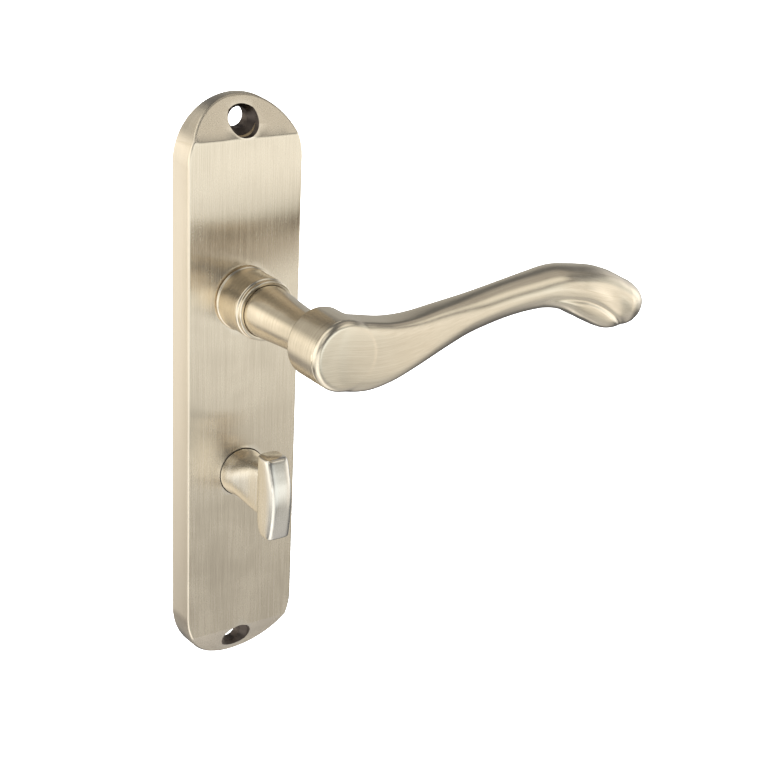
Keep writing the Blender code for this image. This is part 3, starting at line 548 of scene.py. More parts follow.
# --- collar ---
def collar_turning():
    """Turned collar: a bead on the plate, a plain body and a stepped, rounded lip."""
    front = PLATE_THICKNESS + GAP
    bead = COLLAR_RADIUS + COLLAR_BEAD
    swage = COLLAR_HOLE + SWAGE_REACH
    swage_high = PLATE_THICKNESS - FRONT_WALL - GAP
    swage_low = swage_high - SWAGE_HEIGHT
    step = COLLAR_TOP - LIP_HEIGHT
    lip = NECK[-1][0] * MM + LIP_ROUND
    profile = [(COLLAR_BORE, COLLAR_TOP - 1.0 * MM), (lip + 0.1 * MM, COLLAR_TOP - 0.75 * MM),
               (lip, COLLAR_TOP - 0.55 * MM)]
    profile += arc((lip + LIP_ROUND, COLLAR_TOP - LIP_ROUND), LIP_ROUND, 180, 90, 4)
    profile += arc((COLLAR_RADIUS - 0.75 * MM, COLLAR_TOP - 0.35 * MM), 0.35 * MM, 90, 0, 5)
    profile += arc((COLLAR_RADIUS, COLLAR_TOP - 1.15 * MM), 0.4 * MM, 180, 250, 6)
    profile += arc((COLLAR_RADIUS - 0.45 * MM, step - 0.3 * MM), 0.45 * MM, 70, 0, 6)
    profile += [(COLLAR_RADIUS, step - 3.0 * MM), (COLLAR_RADIUS, front + 4.0 * MM),
                (COLLAR_RADIUS + 0.05 * MM, front + 1.1 * MM)]
    profile += arc((bead - 0.35 * MM, front + 0.45 * MM), 0.45 * MM, 75, -60, 8)
    profile += [(bead - 0.2 * MM, front), (COLLAR_HOLE - GAP, front), (COLLAR_HOLE - GAP, swage_high),
                (swage, swage_high), (swage, swage_low), (COLLAR_BORE, swage_low)]
    return turned("collar_turning", profile, closed=True)


# --- lever ---
def drum_profile():
    """(radius, out) from the middle of the drum's front face round its rim to the middle of its back."""
    face = DRUM_RADIUS - DRUM_FRONT_ROUND
    radii = face * np.linspace(0.0, 1.0, 27)[:-1]
    points = [(r, DRUM_FRONT + DRUM_DOME * (1 - (r / face) ** 2)) for r in radii]
    line = DRUM_FRONT - DRUM_FRONT_ROUND
    points += arc((face, line), DRUM_FRONT_ROUND, 90, 0, 12)
    points += [(DRUM_RADIUS - RIM_LINE, line - 0.05), (DRUM_RADIUS - RIM_LINE, line - 0.17),
               (DRUM_RADIUS - 0.02, line - 0.25)]
    side_low = DRUM_BACK + DRUM_BACK_ROUND
    points += [(DRUM_RADIUS, out) for out in np.linspace(line - 0.8, side_low + 0.3, 8)]
    points += arc((DRUM_RADIUS - DRUM_BACK_ROUND, side_low), DRUM_BACK_ROUND, 0, -90, 5)
    points += [(r, DRUM_BACK) for r in np.linspace(DRUM_RADIUS - DRUM_BACK_ROUND, 0.0, 9)[1:]]
    return np.array(points)


def front_and_back(profile):
    """The profile's two halves, each from the middle outwards."""
    split = int(np.argmax(profile[:, 0])) + 1
    return profile[:split], profile[split:][::-1]


def drum_slice(x, profile):
    """Whole ring of the drum's section at a distance from its axis, as (up, out) points."""
    radius = profile[:, 0]
    up = np.sqrt(np.maximum(radius ** 2 - x ** 2, 0.0))
    out = profile[:, 1].copy()
    ahead, behind = front_and_back(profile)
    inside = radius < abs(x)
    in_front = np.arange(len(profile)) < len(ahead)
    out[inside & in_front] = np.interp(abs(x), ahead[:, 0], ahead[:, 1])
    out[inside & ~in_front] = np.interp(abs(x), behind[:, 0], behind[:, 1])
    upper = np.stack([up, out], axis=1)
    return np.concatenate([upper, upper[-2:0:-1] * (-1.0, 1.0)])


def arm_shape(x):
    """Centre height, half height, half depth, distance out and the three squarenesses at x."""
    up, half_up, half_out, out, upper, rest = (float(smooth_column(ARM, c, x)) for c in range(1, 7))
    lower = rest + LOWER_EDGE * (1 - float(soft_step(x, *LOWER_EDGE_FADES)))
    lower += (SCROLL_EDGE * float(soft_step(x, *SCROLL_EDGE_COMES))
              * (1 - float(soft_step(x, *SCROLL_EDGE_GOES))))
    return up, half_up, half_out, out, upper, lower, rest


def in_arm(points, shape):
    up, half_up, half_out, out, upper, lower, rest = shape
    rise = (points[:, 0] - up) / half_up
    depth = (points[:, 1] - out) / half_out
    squareness = np.where(depth > 0, np.where(rise > 0, upper, lower), rest)
    return np.abs(rise) ** squareness + np.abs(depth) ** squareness < 1.0


def in_drum(points, x, profile):
    radius = np.hypot(points[:, 0], x)
    front, back = (np.interp(radius, half[:, 0], half[:, 1]) for half in front_and_back(profile))
    return (radius < DRUM_RADIUS) & (points[:, 1] < front) & (points[:, 1] > back)


def reach(inside, centre, direction):
    """How many times direction a ray goes from centre before it leaves a shape."""
    near, far = np.zeros(len(direction)), np.full(len(direction), 3.0)
    for _ in range(34):
        middle = (near + far) / 2
        held = inside(centre + direction * middle[:, None])
        near, far = np.where(held, middle, near), np.where(held, far, middle)
    return near


def soft_max(a, b, blend):
    overlap = np.maximum(blend - np.abs(a - b), 0.0) / blend
    return np.maximum(a, b) + overlap ** 2 * blend / 4


def bell(distance, width):
    return np.exp(-(distance / width) ** 2)


def scroll_detail(x, ring, shape):
    """Press the scroll's groove and flute into the front of a ring, which leaves its ridge."""
    up, half_up, half_out, out, *_ = shape
    front = soft_step((ring[:, 1] - out) / half_out, *SCROLL_FRONT)
    places = np.stack([np.full(len(ring), x), ring[:, 0]], axis=1)
    above = signed_distance(places, smooth_path(RIDGE))
    flute = signed_distance(places, smooth_path(FLUTE))
    grow = float(soft_step(x, *SCROLL_GROWS)) * (1 - 0.5 * float(soft_step(x, *SCROLL_FADES)))
    depth = sum(deep * bell(above - height, width) for deep, height, width in SCROLL_CUTS)
    gain = soft_step(places[:, 0] - FLUTE_LEAN * places[:, 1], *FLUTE_GROWS)
    depth += (FLUTE_DEPTH[0] + FLUTE_DEPTH[1] * gain) * bell(flute, FLUTE_WIDTH[0] + FLUTE_WIDTH[1] * gain)
    edge = soft_step(ring[:, 0] - (up - half_up), 0.0, SCROLL_RIM)
    ring[:, 1] -= depth * front * grow * edge
    return ring


def drum_rings(profile):
    """Rings of the drum's half that faces away from the arm."""
    rings = []
    for theta in np.linspace(0.0, math.pi / 2, DRUM_RINGS + 1)[:-1]:
        x = -DRUM_RADIUS * math.cos(theta)
        ring = drum_slice(x, profile)
        if x > ARM[0][0]:
            shape = arm_shape(x)
            direction = ring - DRUM_MIDDLE
            length = np.linalg.norm(direction, axis=1)
            arm = reach(lambda points: in_arm(points, shape), DRUM_MIDDLE, direction) * length
            grown = soft_max(length, arm, DRUM_BLEND) / np.maximum(length, 1e-6)
            ring = DRUM_MIDDLE + direction * grown[:, None]
        rings.append((x, ring))
    return rings


def arm_rings(profile):
    """Rings of the arm, from inside the drum to the scroll."""
    template = drum_slice(0.0, profile) - DRUM_MIDDLE
    rings = []
    for x in np.concatenate([np.linspace(*run) for run in ARM_RINGS]):
        shape = arm_shape(x)
        share = float(soft_step(x, 0.0, 9.0))
        centre = DRUM_MIDDLE * (1 - share) + np.array([shape[0], shape[3]]) * share
        scale = 1 - share + share * np.array([shape[1] / DRUM_RADIUS, shape[2] / HALF_DEPTH])
        direction = template * scale
        length = np.linalg.norm(direction, axis=1)
        grown = reach(lambda points: in_arm(points, shape), centre, direction) * length
        if x < DRUM_RADIUS:
            drum = reach(lambda points: in_drum(points, x, profile), centre, direction) * length
            grown = soft_max(grown, drum, DRUM_BLEND)
        ring = centre + direction * (grown / length)[:, None]
        rings.append((x, scroll_detail(x, ring, shape) if x > SCROLL_START else ring))
    return rings


def tip_rings(profile):
    """Rings that close the scroll's end."""
    template = drum_slice(0.0, profile) - DRUM_MIDDLE
    length = ARM_TIP - ARM_END
    up, half_up, half_out, out, *squareness = arm_shape(ARM_END)
    start, end = math.radians(TIP_START_DEG), math.radians(TIP_END_DEG)
    rings = []
    for i in range(1, TIP_RINGS + 1):
        angle = start + (end - start) * i / TIP_RINGS
        shrink = math.cos(angle) / math.cos(start)
        share = (math.sin(angle) - math.sin(start)) / (1 - math.sin(start))
        x = ARM_END + length * share
        fall = TIP_SLOPE * length * share * (1 - share) ** 2
        height = up + fall + (ARM_TIP_HEIGHT - up) * share * share * (3 - 2 * share)
        depth = half_out * (TIP_DEPTH + (1 - TIP_DEPTH) * shrink)
        shape = (height, half_up * shrink, depth, out, *squareness)
        direction = template * (shape[1] / DRUM_RADIUS, depth / HALF_DEPTH)
        centre = np.array([height, out])
        grown = reach(lambda points: in_arm(points, shape), centre, direction)
        rings.append((x, scroll_detail(x, centre + direction * grown[:, None], shape)))
    return rings


def journal(radius, groove_depth):
    """Profile of a journal below its shoulder, with its circlip's groove."""
    inner = radius - groove_depth
    return [(radius, GROOVE_HIGH), (inner, GROOVE_HIGH), (inner, GROOVE_LOW), (radius, GROOVE_LOW),
            (radius, JOURNAL_END)]


def lever_casting():
    profile = drum_profile()
    rings = []
    for x, ring in drum_rings(profile) + arm_rings(profile) + tip_rings(profile):
        rings.append([(x * MM, up * MM, out * MM) for up, out in ring])
    lever = skin(rings, "lever_casting")
    outs = np.linspace(NECK[0][1] * MM, NECK[-1][1] * MM, NECK_STEPS)
    radii = [smooth_column([(-out * MM, radius * MM) for radius, out in NECK], 1, -at) for at in outs]
    neck = list(zip(radii, outs)) + [(JOURNAL_RADIUS, SHOULDER)] + journal(JOURNAL_RADIUS, GROOVE_DEPTH)
    join(lever, turned("neck", neck))
    cut(lever, square_bar("socket", LEVER_SQUARE + 2 * GAP, LEVER_SQUARE_CHAMFER, -CLEAR,
                          LEVER_SPINDLE_FRONT + 2 * GAP))
    side = JOURNAL_RADIUS + CLEAR
    for near, far in ((FLAT_HALF, side), (-side, -FLAT_HALF)):
        cut(lever, block("flat", (near, -side, -CLEAR), (far, side, FLAT_TOP)))
    return lever


# --- thumb turn ---
def section_ring(half_x, half_y, squareness, sides=96):
    """Rounded rectangle round the origin."""
    angle = 2 * math.pi * (np.arange(sides) + 0.5) / sides
    return np.stack([half * np.copysign(np.abs(wave) ** (2.0 / squareness), wave)
                     for half, wave in ((half_x, np.cos(angle)), (half_y, np.sin(angle)))], axis=1)


def turn_shank():
    """Shank that starts round at the plate and flattens into the paddle."""
    rings = []
    for out in np.linspace(SHANK[0][0], SHANK[-1][0], SHANK_RINGS):
        half_x, half_y, squareness = (float(smooth_column(SHANK, c, out)) for c in (1, 2, 3))
        ring = section_ring(half_x, half_y, squareness)
        rings.append([(x * MM, y * MM, out * MM) for x, y in ring])
    return skin(rings, "shank")


def turn_paddle():
    """Flat paddle: bulged in front, its edges rounded all round."""
    rings = []
    ups = [row[0] for row in HEAD]
    for up in np.concatenate([np.linspace(ups[0], ups[2], HEAD_END_RINGS)[:-1],
                              np.linspace(ups[2], ups[-3], HEAD_RINGS),
                              np.linspace(ups[-3], ups[-1], HEAD_END_RINGS)[1:]]):
        half_x, back, front = (float(smooth_column(HEAD, c, up)) for c in (1, 2, 3))
        ring = section_ring(half_x, (front - back) / 2, HEAD_SQUARENESS)
        rings.append([(x * MM, up * MM, (out + (back + front) / 2) * MM) for x, out in ring])
    return skin(rings, "paddle")


def laid_across(item):
    """Lay a rod along X at the height of the turn's pin."""
    item.data.transform(Matrix.Rotation(math.pi / 2, 4, "Y"))
    item.data.transform(Matrix.Translation((0.0, 0.0, TURN_PIN_HEIGHT)))
    return item


def pin_hole(half_length):
    return laid_across(rod("pin_hole", TURN_PIN + GAP, -half_length, half_length, steps=32))


def on_turn_axis(item):
    item.data.transform(Matrix.Translation(TURN_AXIS))
    return item


def thumb_turn_casting():
    profile = [(TURN_JOURNAL, TURN_SHOULDER + INTO_SHANK)] + journal(TURN_JOURNAL, TURN_GROOVE_DEPTH)
    turn = turned("thumb_turn_casting", profile)
    join(turn, turn_shank(), turn_paddle())
    socket = square_bar("socket", TURN_SQUARE + 2 * GAP, TURN_SQUARE_CHAMFER, -CLEAR,
                        TURN_SPINDLE_FRONT + 2 * GAP)
    cut(turn, socket, pin_hole(TURN_JOURNAL + CLEAR))
    return on_turn_axis(turn)


# --- working pieces behind the plate and inside the collar ---
def heights(node):
    """Lowest and highest distance of a CAD node from the door."""
    low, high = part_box(node)
    return -high.y, -low.y


def outer_radius(node):
    low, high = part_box(node)
    return (high.x - low.x) / 2


def rounded(item, width, segments=2):
    """Round a piece's hard edges."""
    step = item.modifiers.new("rounded", "BEVEL")
    step.width = width
    step.segments = segments
    step.limit_method = "ANGLE"
    step.angle_limit = math.radians(30.0)
    return applied(item)


def ring_piece(name, node, inner):
    """Flat ring in place of a CAD washer."""
    low, high = heights(node)
    outer, edge = outer_radius(node), WASHER_EDGE
    profile = [(inner, high - edge), (inner + edge, high), (outer - edge, high), (outer, high - edge),
               (outer, low + edge), (outer - edge, low), (inner + edge, low), (inner, low + edge)]
    return turned(name, profile, closed=True)


def wave_ring(name, node, inner):
    """Spring washer that rises and falls as it goes round."""
    low, high = heights(node)
    outer = outer_radius(node)
    low, high = low + WAVE_SWING, high - WAVE_SWING
    across = np.linspace(inner + WAVE_EDGE, outer - WAVE_EDGE, 5)
    profile = [(inner, low + WAVE_EDGE), (inner, high - WAVE_EDGE)] + [(r, high) for r in across]
    profile += [(outer, high - WAVE_EDGE), (outer, low + WAVE_EDGE)] + [(r, low) for r in across[::-1]]
    ring = turned(name, profile, closed=True)
    for vert in ring.data.vertices:
        vert.co.z += WAVE_SWING * math.sin(WAVES * math.atan2(vert.co.y, vert.co.x))
    return ring


def bush(name, node, inner, outer):
    """Nylon bush with a thin flange at its door end."""
    low, high = heights(node)
    flange, top = outer_radius(node), low + FLANGE_THICKNESS
    edge = BUSH_EDGE
    profile = [(inner + edge, low), (inner, low + edge), (inner, high - edge), (inner + edge, high),
               (outer - edge, high), (outer, high - edge), (outer, top + edge), (outer + edge, top),
               (flange - edge, top), (flange, top - edge), (flange, low + edge), (flange - edge, low)]
    return turned(name, profile, closed=True)


def polar(radius, degrees):
    angle = math.radians(degrees)
    return radius * math.cos(angle), radius * math.sin(angle)


def circlip(name, node, inner, width):
    """Open ring with two eyed ears."""
    low, high = heights(node)
    outer = inner + width
    span, steps = 360 - 2 * CLIP_HALF_GAP_DEG, range(CLIP_STEPS + 1)
    outline = [polar(outer, 270 + CLIP_HALF_GAP_DEG + span * i / CLIP_STEPS) for i in steps]
    outline += [polar(inner, 270 - CLIP_HALF_GAP_DEG - span * i / CLIP_STEPS) for i in steps]
    bm = bmesh.new()
    face = bm.faces.new([bm.verts.new((x, y, low)) for x, y in outline])
    raised = bmesh.ops.extrude_face_region(bm, geom=[face])["geom"]
    top = [v for v in raised if isinstance(v, bmesh.types.BMVert)]
    bmesh.ops.translate(bm, verts=top, vec=(0.0, 0.0, high - low))
    clip = from_bmesh(name, bm)
    for side in (1, -1):
        x, y = polar(outer - CLIP_EAR_INSET, 270 + side * (CLIP_HALF_GAP_DEG + CLIP_EAR_DEG))
        join(clip, rod("ear", CLIP_EAR, low, high, x, y, 40))
        cut(clip, rod("eye", CLIP_EYE, 0.0, 2 * high, x, y, 24))
    return rounded(clip, CLIP_ROUND)


def drive_cam():
    """Steel plate on the journal's flats; its lug pushes the spring and meets the stop pins."""
    low, high = CAM_LOW, CAM_HIGH
    cam = rod("drive_cam", CAM_RADIUS, low, high, steps=LATHE_STEPS)
    half = LUG_WIDTH / 2
    arm = block("cam_arm", (CAM_RADIUS - PAST, -half, low), (LUG_OUTER, half, high))
    lug_top = heights("lever_cam")[1]
    join(arm, block("cam_lug", (LUG_INNER, -half, low), (LUG_OUTER, half, lug_top)))
    arm.data.transform(Matrix.Rotation(math.radians(LUG_DEG), 4, "Z"))
    join(cam, arm)
    hole = rod("cam_hole", JOURNAL_RADIUS + GAP, 0.0, 2 * high, steps=LATHE_STEPS)
    limit = FLAT_HALF + GAP
    for vert in hole.data.vertices:
        vert.co.x = min(max(vert.co.x, -limit), limit)
    cut(cam, tidied(hole))
    return rounded(cam, CAM_ROUND)


def pin_turning(name, radius, low, high, edge, steps):
    """Pin with chamfered ends."""
    profile = [(radius - edge, high), (radius, high - edge), (radius, low + edge), (radius - edge, low)]
    return turned(name, profile, steps=steps)


def stop_pin(name, node):
    x, up, radius = pin_places()[node]
    pin = pin_turning(name, radius, *heights(node), STOP_PIN_EDGE, 48)
    pin.data.transform(Matrix.Translation((x, up, 0.0)))
    return pin


def spindle(name, node, width, chamfer):
    """Square bar with its edges and ends rounded."""
    return rounded(square_bar(name, width, chamfer, *heights(node)), SPINDLE_ROUND, segments=3)


def turn_spindle_bar():
    bar = spindle("turn_spindle_bar", "turn_spindle", TURN_SQUARE, TURN_SQUARE_CHAMFER)
    return on_turn_axis(cut(bar, pin_hole(TURN_SQUARE)))


def spring_pin():
    """Pin through the thumb turn's journal and its spindle."""
    half = TURN_JOURNAL - GAP
    pin = pin_turning("spring_pin", TURN_PIN, -half, half, SPRING_PIN_EDGE, 40)
    return on_turn_axis(laid_across(pin))


def spring_route():
    """Middle of the spring's wire: a leg, the coils and the other leg."""
    steps = int(SPRING_SWEEP_DEG / SPRING_STEP_DEG)
    coil = []
    for i in range(steps + 1):
        swept = SPRING_SWEEP_DEG * i / steps
        x, y = polar(SPRING_RADIUS, SPRING_START_DEG + swept)
        coil.append((x, y, SPRING_LOW - SPRING_PITCH * swept / 360))
    legs = []
    for degrees, side in ((SPRING_START_DEG, -1), (SPRING_START_DEG + SPRING_SWEEP_DEG, 1)):
        height = coil[0][2] if side < 0 else coil[-1][2]
        leg = []
        for share in np.linspace(0.0, 1.0, SPRING_LEG_STEPS):
            radius = SPRING_LEG + (SPRING_RADIUS + SPRING_LEG_CLEAR - SPRING_LEG) * share
            bend = side * SPRING_LEG_BEND_DEG * math.sin(math.pi * share) * share
            leg.append((*polar(radius, degrees + bend), height))
        legs.append(leg)
    return np.array(legs[0] + coil[1:-1] + legs[1][::-1])


def spring_wire():
    route = spring_route()
    along = np.gradient(route, axis=0)
    along /= np.linalg.norm(along, axis=1)[:, None]
    rings = []
    for place, tangent in zip(route, along):
        side = np.cross(tangent, (0.0, 0.0, 1.0))
        side /= np.linalg.norm(side)
        over = np.cross(side, tangent)
        angles = [2 * math.pi * k / WIRE_SIDES for k in range(WIRE_SIDES)]
        rings.append([place + SPRING_WIRE * (math.cos(a) * side + math.sin(a) * over) for a in angles])
    return skin(rings, "spring_wire")


# --- brush marks: where they lie and which way they run ---
def corner_arrays(item):
    """Place, in millimetres in the face frame, and face normal at every face corner."""
    mesh = item.data
    places = np.empty(len(mesh.vertices) * 3)
    mesh.vertices.foreach_get("co", places)
    index = np.empty(len(mesh.loops), int)
    mesh.loops.foreach_get("vertex_index", index)
    normals = np.empty(len(mesh.polygons) * 3)
    mesh.polygons.foreach_get("normal", normals)
    sides = np.empty(len(mesh.polygons), int)
    mesh.polygons.foreach_get("loop_total", sides)
    return places.reshape(-1, 3)[index] / MM, np.repeat(normals.reshape(-1, 3), sides, axis=0)


def brush(item, marks):
    """Store the brush marks' own coordinates (grain) and their direction (grain_dir)."""
    places, normals = corner_arrays(item)
    grain, direction = marks(places, normals)
    stood = direction @ np.array(STAND.to_3x3()).T
    for name, values in (("grain", grain), ("grain_dir", stood)):
        layer = item.data.attributes.new(name, "FLOAT_VECTOR", "CORNER")
        layer.data.foreach_set("vector", np.ascontiguousarray(values, dtype=np.float32).ravel())


def plate_marks(places, normals):
    """Straight up the faces, and along the edge round the side wall."""
    x, up, out = places.T
    wall = np.abs(normals[:, 2]) < 0.6
    side = np.sign(normals[:, 0] + 1e-9)
    grain = np.stack([np.where(wall, out * FINE, x * FINE),
                      np.where(wall, side * WALLS_APART, out * FINE), up * LONG], axis=1)
    along_wall = np.stack([-normals[:, 1], normals[:, 0], np.zeros(len(x))], axis=1)
    direction = np.where(wall[:, None], along_wall, (0.0, 1.0, 0.0))
    return grain, direction


def shade_inside_holes(plate):
    """Mark the walls of the screw holes, which are painted dark as shade."""
    x, up, out = corner_arrays(plate)[0].T
    offset = np.minimum(np.abs(up - (PLATE_CENTRE + SCREW_OFFSET) / MM),
                        np.abs(up - (PLATE_CENTRE - SCREW_OFFSET) / MM))
    first = np.empty(len(plate.data.polygons), int)
    plate.data.polygons.foreach_get("loop_start", first)
    farthest = np.maximum.reduceat(np.hypot(x, offset), first)
    front = np.maximum.reduceat(out, first) > 0.1
    in_hole = (farthest < SINK_RADIUS / MM + 0.05) & front
    shaded_hole_walls = plate.data.attributes.new("shaded_hole_walls", "FLOAT", "FACE")
    shaded_hole_walls.data.foreach_set("value", in_hole.astype(np.float32))


def lathe_marks(places, normals):
    """Marks that run round an axis."""
    x, up, out = places.T
    radius = np.maximum(np.hypot(x, up), 1e-6)
    around = np.stack([-up / radius, x / radius, np.zeros(len(x))], axis=1)
    grain = np.stack([x / radius * 10.0 * LONG, up / radius * 10.0 * LONG, (radius + out) * FINE], axis=1)
    return grain, around


def lever_marks(places, normals):
    """Along the arm, and round the drum's rim and the neck."""
    x, up, out = places.T
    middle = smooth_column(ARM, 1, x)
    radius = np.hypot(x, up)
    neck = out < DRUM_BACK - 0.5
    near_rim = np.abs(radius - DRUM_RADIUS) < np.where(x < 3.0, 0.9, 0.35)
    rim = ~neck & near_rim & (np.abs(normals[:, 2]) < 0.45)
    lathe, around = lathe_marks(places, normals)
    arm = np.stack([(up - middle) * FINE, out * FINE, x * LONG], axis=1)
    slope = smooth_column(ARM, 1, x + 0.5) - smooth_column(ARM, 1, x - 0.5)
    along = np.stack([np.ones(len(x)), slope, np.zeros(len(x))], axis=1)
    grain = np.where((neck | rim)[:, None], lathe, arm)
    return grain, np.where((neck | rim)[:, None], around, along)


def turn_marks(places, normals):
    """Up and down the paddle."""
    x, up, out = places.T
    grain = np.stack([x * FINE, out * FINE, up * LONG], axis=1)
    end = np.abs(normals[:, 1]) > 0.8
    return grain, np.where(end[:, None], (0.0, 0.0, 1.0), (0.0, 1.0, 0.0))


# --- finishes ---
class Finish:
    """One node material: short calls that add and wire its nodes."""

    def __init__(self, name, **fixed):
        self.material = bpy.data.materials.new(name)
        self.material.use_nodes = True
        self.nodes = self.material.node_tree.nodes
        self.shader = self.nodes["Principled BSDF"]
        for socket, value in fixed.items():
            self.shader.inputs[socket.replace("_", " ")].default_value = value

    def wire(self, source, target):
        self.material.node_tree.links.new(source, target)

    def add(self, kind, **settings):
        node = self.nodes.new(kind)
        for name, value in settings.items():
            setattr(node, name, value)
        return node

    def fill(self, node, values):
        for key, value in values.items():
            if isinstance(value, bpy.types.NodeSocket):
                self.wire(value, node.inputs[key])
            else:
                node.inputs[key].default_value = value
        return node

    def attribute(self, name):
        return self.add("ShaderNodeAttribute", attribute_name=name).outputs["Vector"]

    def place(self):
        return self.add("ShaderNodeTexCoord").outputs["Object"]

    def noise(self, where, scale, detail=3.0, roughness=0.55, distortion=0.0):
        node = self.add("ShaderNodeTexNoise", noise_dimensions="3D")
        self.fill(node, {"Vector": where, "Scale": scale, "Detail": detail, "Roughness": roughness,
                         "Distortion": distortion})
        return node.outputs["Fac"]

    def spread(self, value, low, high, to_low=0.0, to_high=1.0):
        node = self.add("ShaderNodeMapRange", interpolation_type="SMOOTHSTEP")
        self.fill(node, {0: value, 1: low, 2: high, 3: to_low, 4: to_high})
        return node.outputs[0]

    def math(self, operation, first, second=0.0):
        node = self.add("ShaderNodeMath", operation=operation)
        return self.fill(node, {0: first, 1: second}).outputs[0]

    def blend(self, share, first, second):
        node = self.add("ShaderNodeMix", data_type="RGBA")
        colours = [value if isinstance(value, bpy.types.NodeSocket) else (*value, 1.0)
                   for value in (first, second)]
        return self.fill(node, {0: share, 6: colours[0], 7: colours[1]}).outputs[2]

    def edges(self, wear_from=0.51):
        """1 on outside edges, from how sharply the mesh turns there."""
        turn = self.add("ShaderNodeNewGeometry").outputs["Pointiness"]
        return self.spread(turn, wear_from, wear_from + WEAR_SPAN)

    def shaded_hollows(self):
        """1 in inside corners, where a darker colour is painted in as shade."""
        return self.spread(self.add("ShaderNodeNewGeometry").outputs["Pointiness"], 0.42, 0.49, 1.0, 0.0)

    def across_grain(self):
        """Tangent across the brush marks, which spreads highlights that way."""
        turn = self.add("ShaderNodeVectorTransform", vector_type="VECTOR", convert_from="OBJECT",
                        convert_to="WORLD")
        self.wire(self.attribute("grain_dir"), turn.inputs[0])
        cross = self.add("ShaderNodeVectorMath", operation="CROSS_PRODUCT")
        self.wire(self.add("ShaderNodeNewGeometry").outputs["Normal"], cross.inputs[0])
        self.wire(turn.outputs[0], cross.inputs[1])
        return cross.outputs[0]

    def bump(self, height, strength, distance):
        values = {"Height": height, "Strength": strength, "Distance": distance}
        return self.fill(self.add("ShaderNodeBump"), values).outputs["Normal"]

    def finished(self, **sockets):
        """Wire values to the shader's sockets and hand over the material."""
        for name, value in sockets.items():
            self.wire(value, self.shader.inputs[name.replace("_", " ")])
        return self.material


def brushed_nickel(name, dark, light, worn, roughness, streak, anisotropic, bump, wear_from):
    """Satin nickel plate: fine brush marks, faint clouds, edges rubbed brighter and smoother; painted shade
    in inside corners and screw holes.
    """
    made = Finish(name, Metallic=1.0, Anisotropic=anisotropic)
    grain = made.attribute("grain")
    fine = made.noise(grain, 1.0, 4.0, 0.6)
    coarse = made.noise(grain, 0.22, 2.0, 0.5)
    clouds = made.noise(made.place(), 55.0, 3.0, 0.5, 0.4)
    specks = made.noise(made.place(), 2600.0, 2.0, 0.6)
    marks = made.math("ADD", made.math("MULTIPLY", fine, 0.82), made.math("MULTIPLY", coarse, 0.18))
    tone = made.math("ADD", made.math("MULTIPLY", marks, 0.6), made.math("MULTIPLY", clouds, 0.4))
    edge = made.edges(wear_from)
    shaded_hole_walls = made.add("ShaderNodeAttribute", attribute_name="shaded_hole_walls").outputs["Fac"]
    colour = made.blend(made.spread(tone, 0.36, 0.62), dark, light)
    # painted shade: inside corners darkened
    colour = made.blend(made.math("MULTIPLY", made.shaded_hollows(), 0.35), colour, [c * 0.8 for c in dark])
    colour = made.blend(made.math("MULTIPLY", edge, 0.7), colour, worn)
    # painted shade: the screw holes' walls are coloured dark
    colour = made.blend(shaded_hole_walls, colour, HOLE_WALL_SHADE)
    grit = made.math("ADD", made.spread(marks, 0.3, 0.7, -streak, streak),
                     made.spread(clouds, 0.3, 0.7, -0.025, 0.025))
    grit = made.math("ADD", grit, made.spread(specks, 0.35, 0.65, -0.012, 0.012))
    rough = made.math("ADD", grit, made.math("SUBTRACT", roughness, made.math("MULTIPLY", edge, 0.08)))
    rough = made.math("ADD", rough, made.math("MULTIPLY", shaded_hole_walls, 0.2))
    return made.finished(Base_Color=colour, Roughness=rough, Normal=made.bump(marks, bump, 0.04 * MM),
                         Tangent=made.across_grain())


def zinc_plate():
    """Bright zinc on pressed and turned steel, with a bluish, faintly blotched passivation."""
    made = Finish("zinc_plate", Metallic=1.0)
    blotch = made.noise(made.place(), 320.0, 4.0, 0.6, 0.6)
    grain = made.noise(made.place(), 3000.0, 2.0, 0.6)
    tint = made.blend(made.spread(blotch, 0.4, 0.6), (0.54, 0.57, 0.62), (0.66, 0.66, 0.64))
    rough = made.math("ADD", made.spread(blotch, 0.35, 0.65, 0.24, 0.36),
                      made.spread(grain, 0.3, 0.7, -0.03, 0.03))
    return made.finished(Base_Color=made.blend(made.edges(), tint, (0.78, 0.78, 0.77)), Roughness=rough,
                         Normal=made.bump(grain, 0.25, 0.02 * MM))


def spring_steel():
    """Oil-blackened spring steel, rubbed to grey where it is sharp."""
    made = Finish("spring_steel", Metallic=1.0)
    film = made.noise(made.place(), 480.0, 4.0, 0.6, 0.5)
    drawn = made.noise(made.place(), 4200.0, 2.0, 0.5)
    tint = made.blend(made.spread(film, 0.4, 0.62), (0.13, 0.13, 0.145), (0.26, 0.25, 0.24))
    return made.finished(Base_Color=made.blend(made.edges(), tint, (0.42, 0.42, 0.42)),
                         Roughness=made.spread(film, 0.3, 0.7, 0.26, 0.42),
                         Normal=made.bump(drawn, 0.3, 0.015 * MM))


def moulded_nylon():
    """Black nylon straight from the mould: dull, finely pitted, with paler rubbed edges."""
    made = Finish("moulded_nylon", Metallic=0.0, IOR=1.53)
    pits = made.noise(made.place(), 3600.0, 3.0, 0.6)
    flow = made.noise(made.place(), 210.0, 3.0, 0.5, 1.2)
    tint = made.blend(made.spread(flow, 0.35, 0.65), (0.017, 0.017, 0.018), (0.030, 0.030, 0.032))
    return made.finished(Base_Color=made.blend(made.edges(), tint, (0.075, 0.075, 0.078)),
                         Roughness=made.spread(pits, 0.3, 0.7, 0.42, 0.62),
                         Normal=made.bump(pits, 0.35, 0.02 * MM))


# --- putting the pieces on their bodies ---
def smooth(item, angle_deg):
    """Smooth shading, broken where the faces turn by more than an angle."""
    item.data.shade_smooth()
    item.data.set_sharp_from_angle(angle=math.radians(angle_deg))


def fitted(item, body, slot, material, *nodes):
    """Stand a piece up, let it ride, give it its material and hide the CAD nodes it stands in for."""
    item.data.transform(STAND)
    item.data.materials.clear()
    item.data.materials.append(material)
    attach(item, body)
    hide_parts(*nodes)


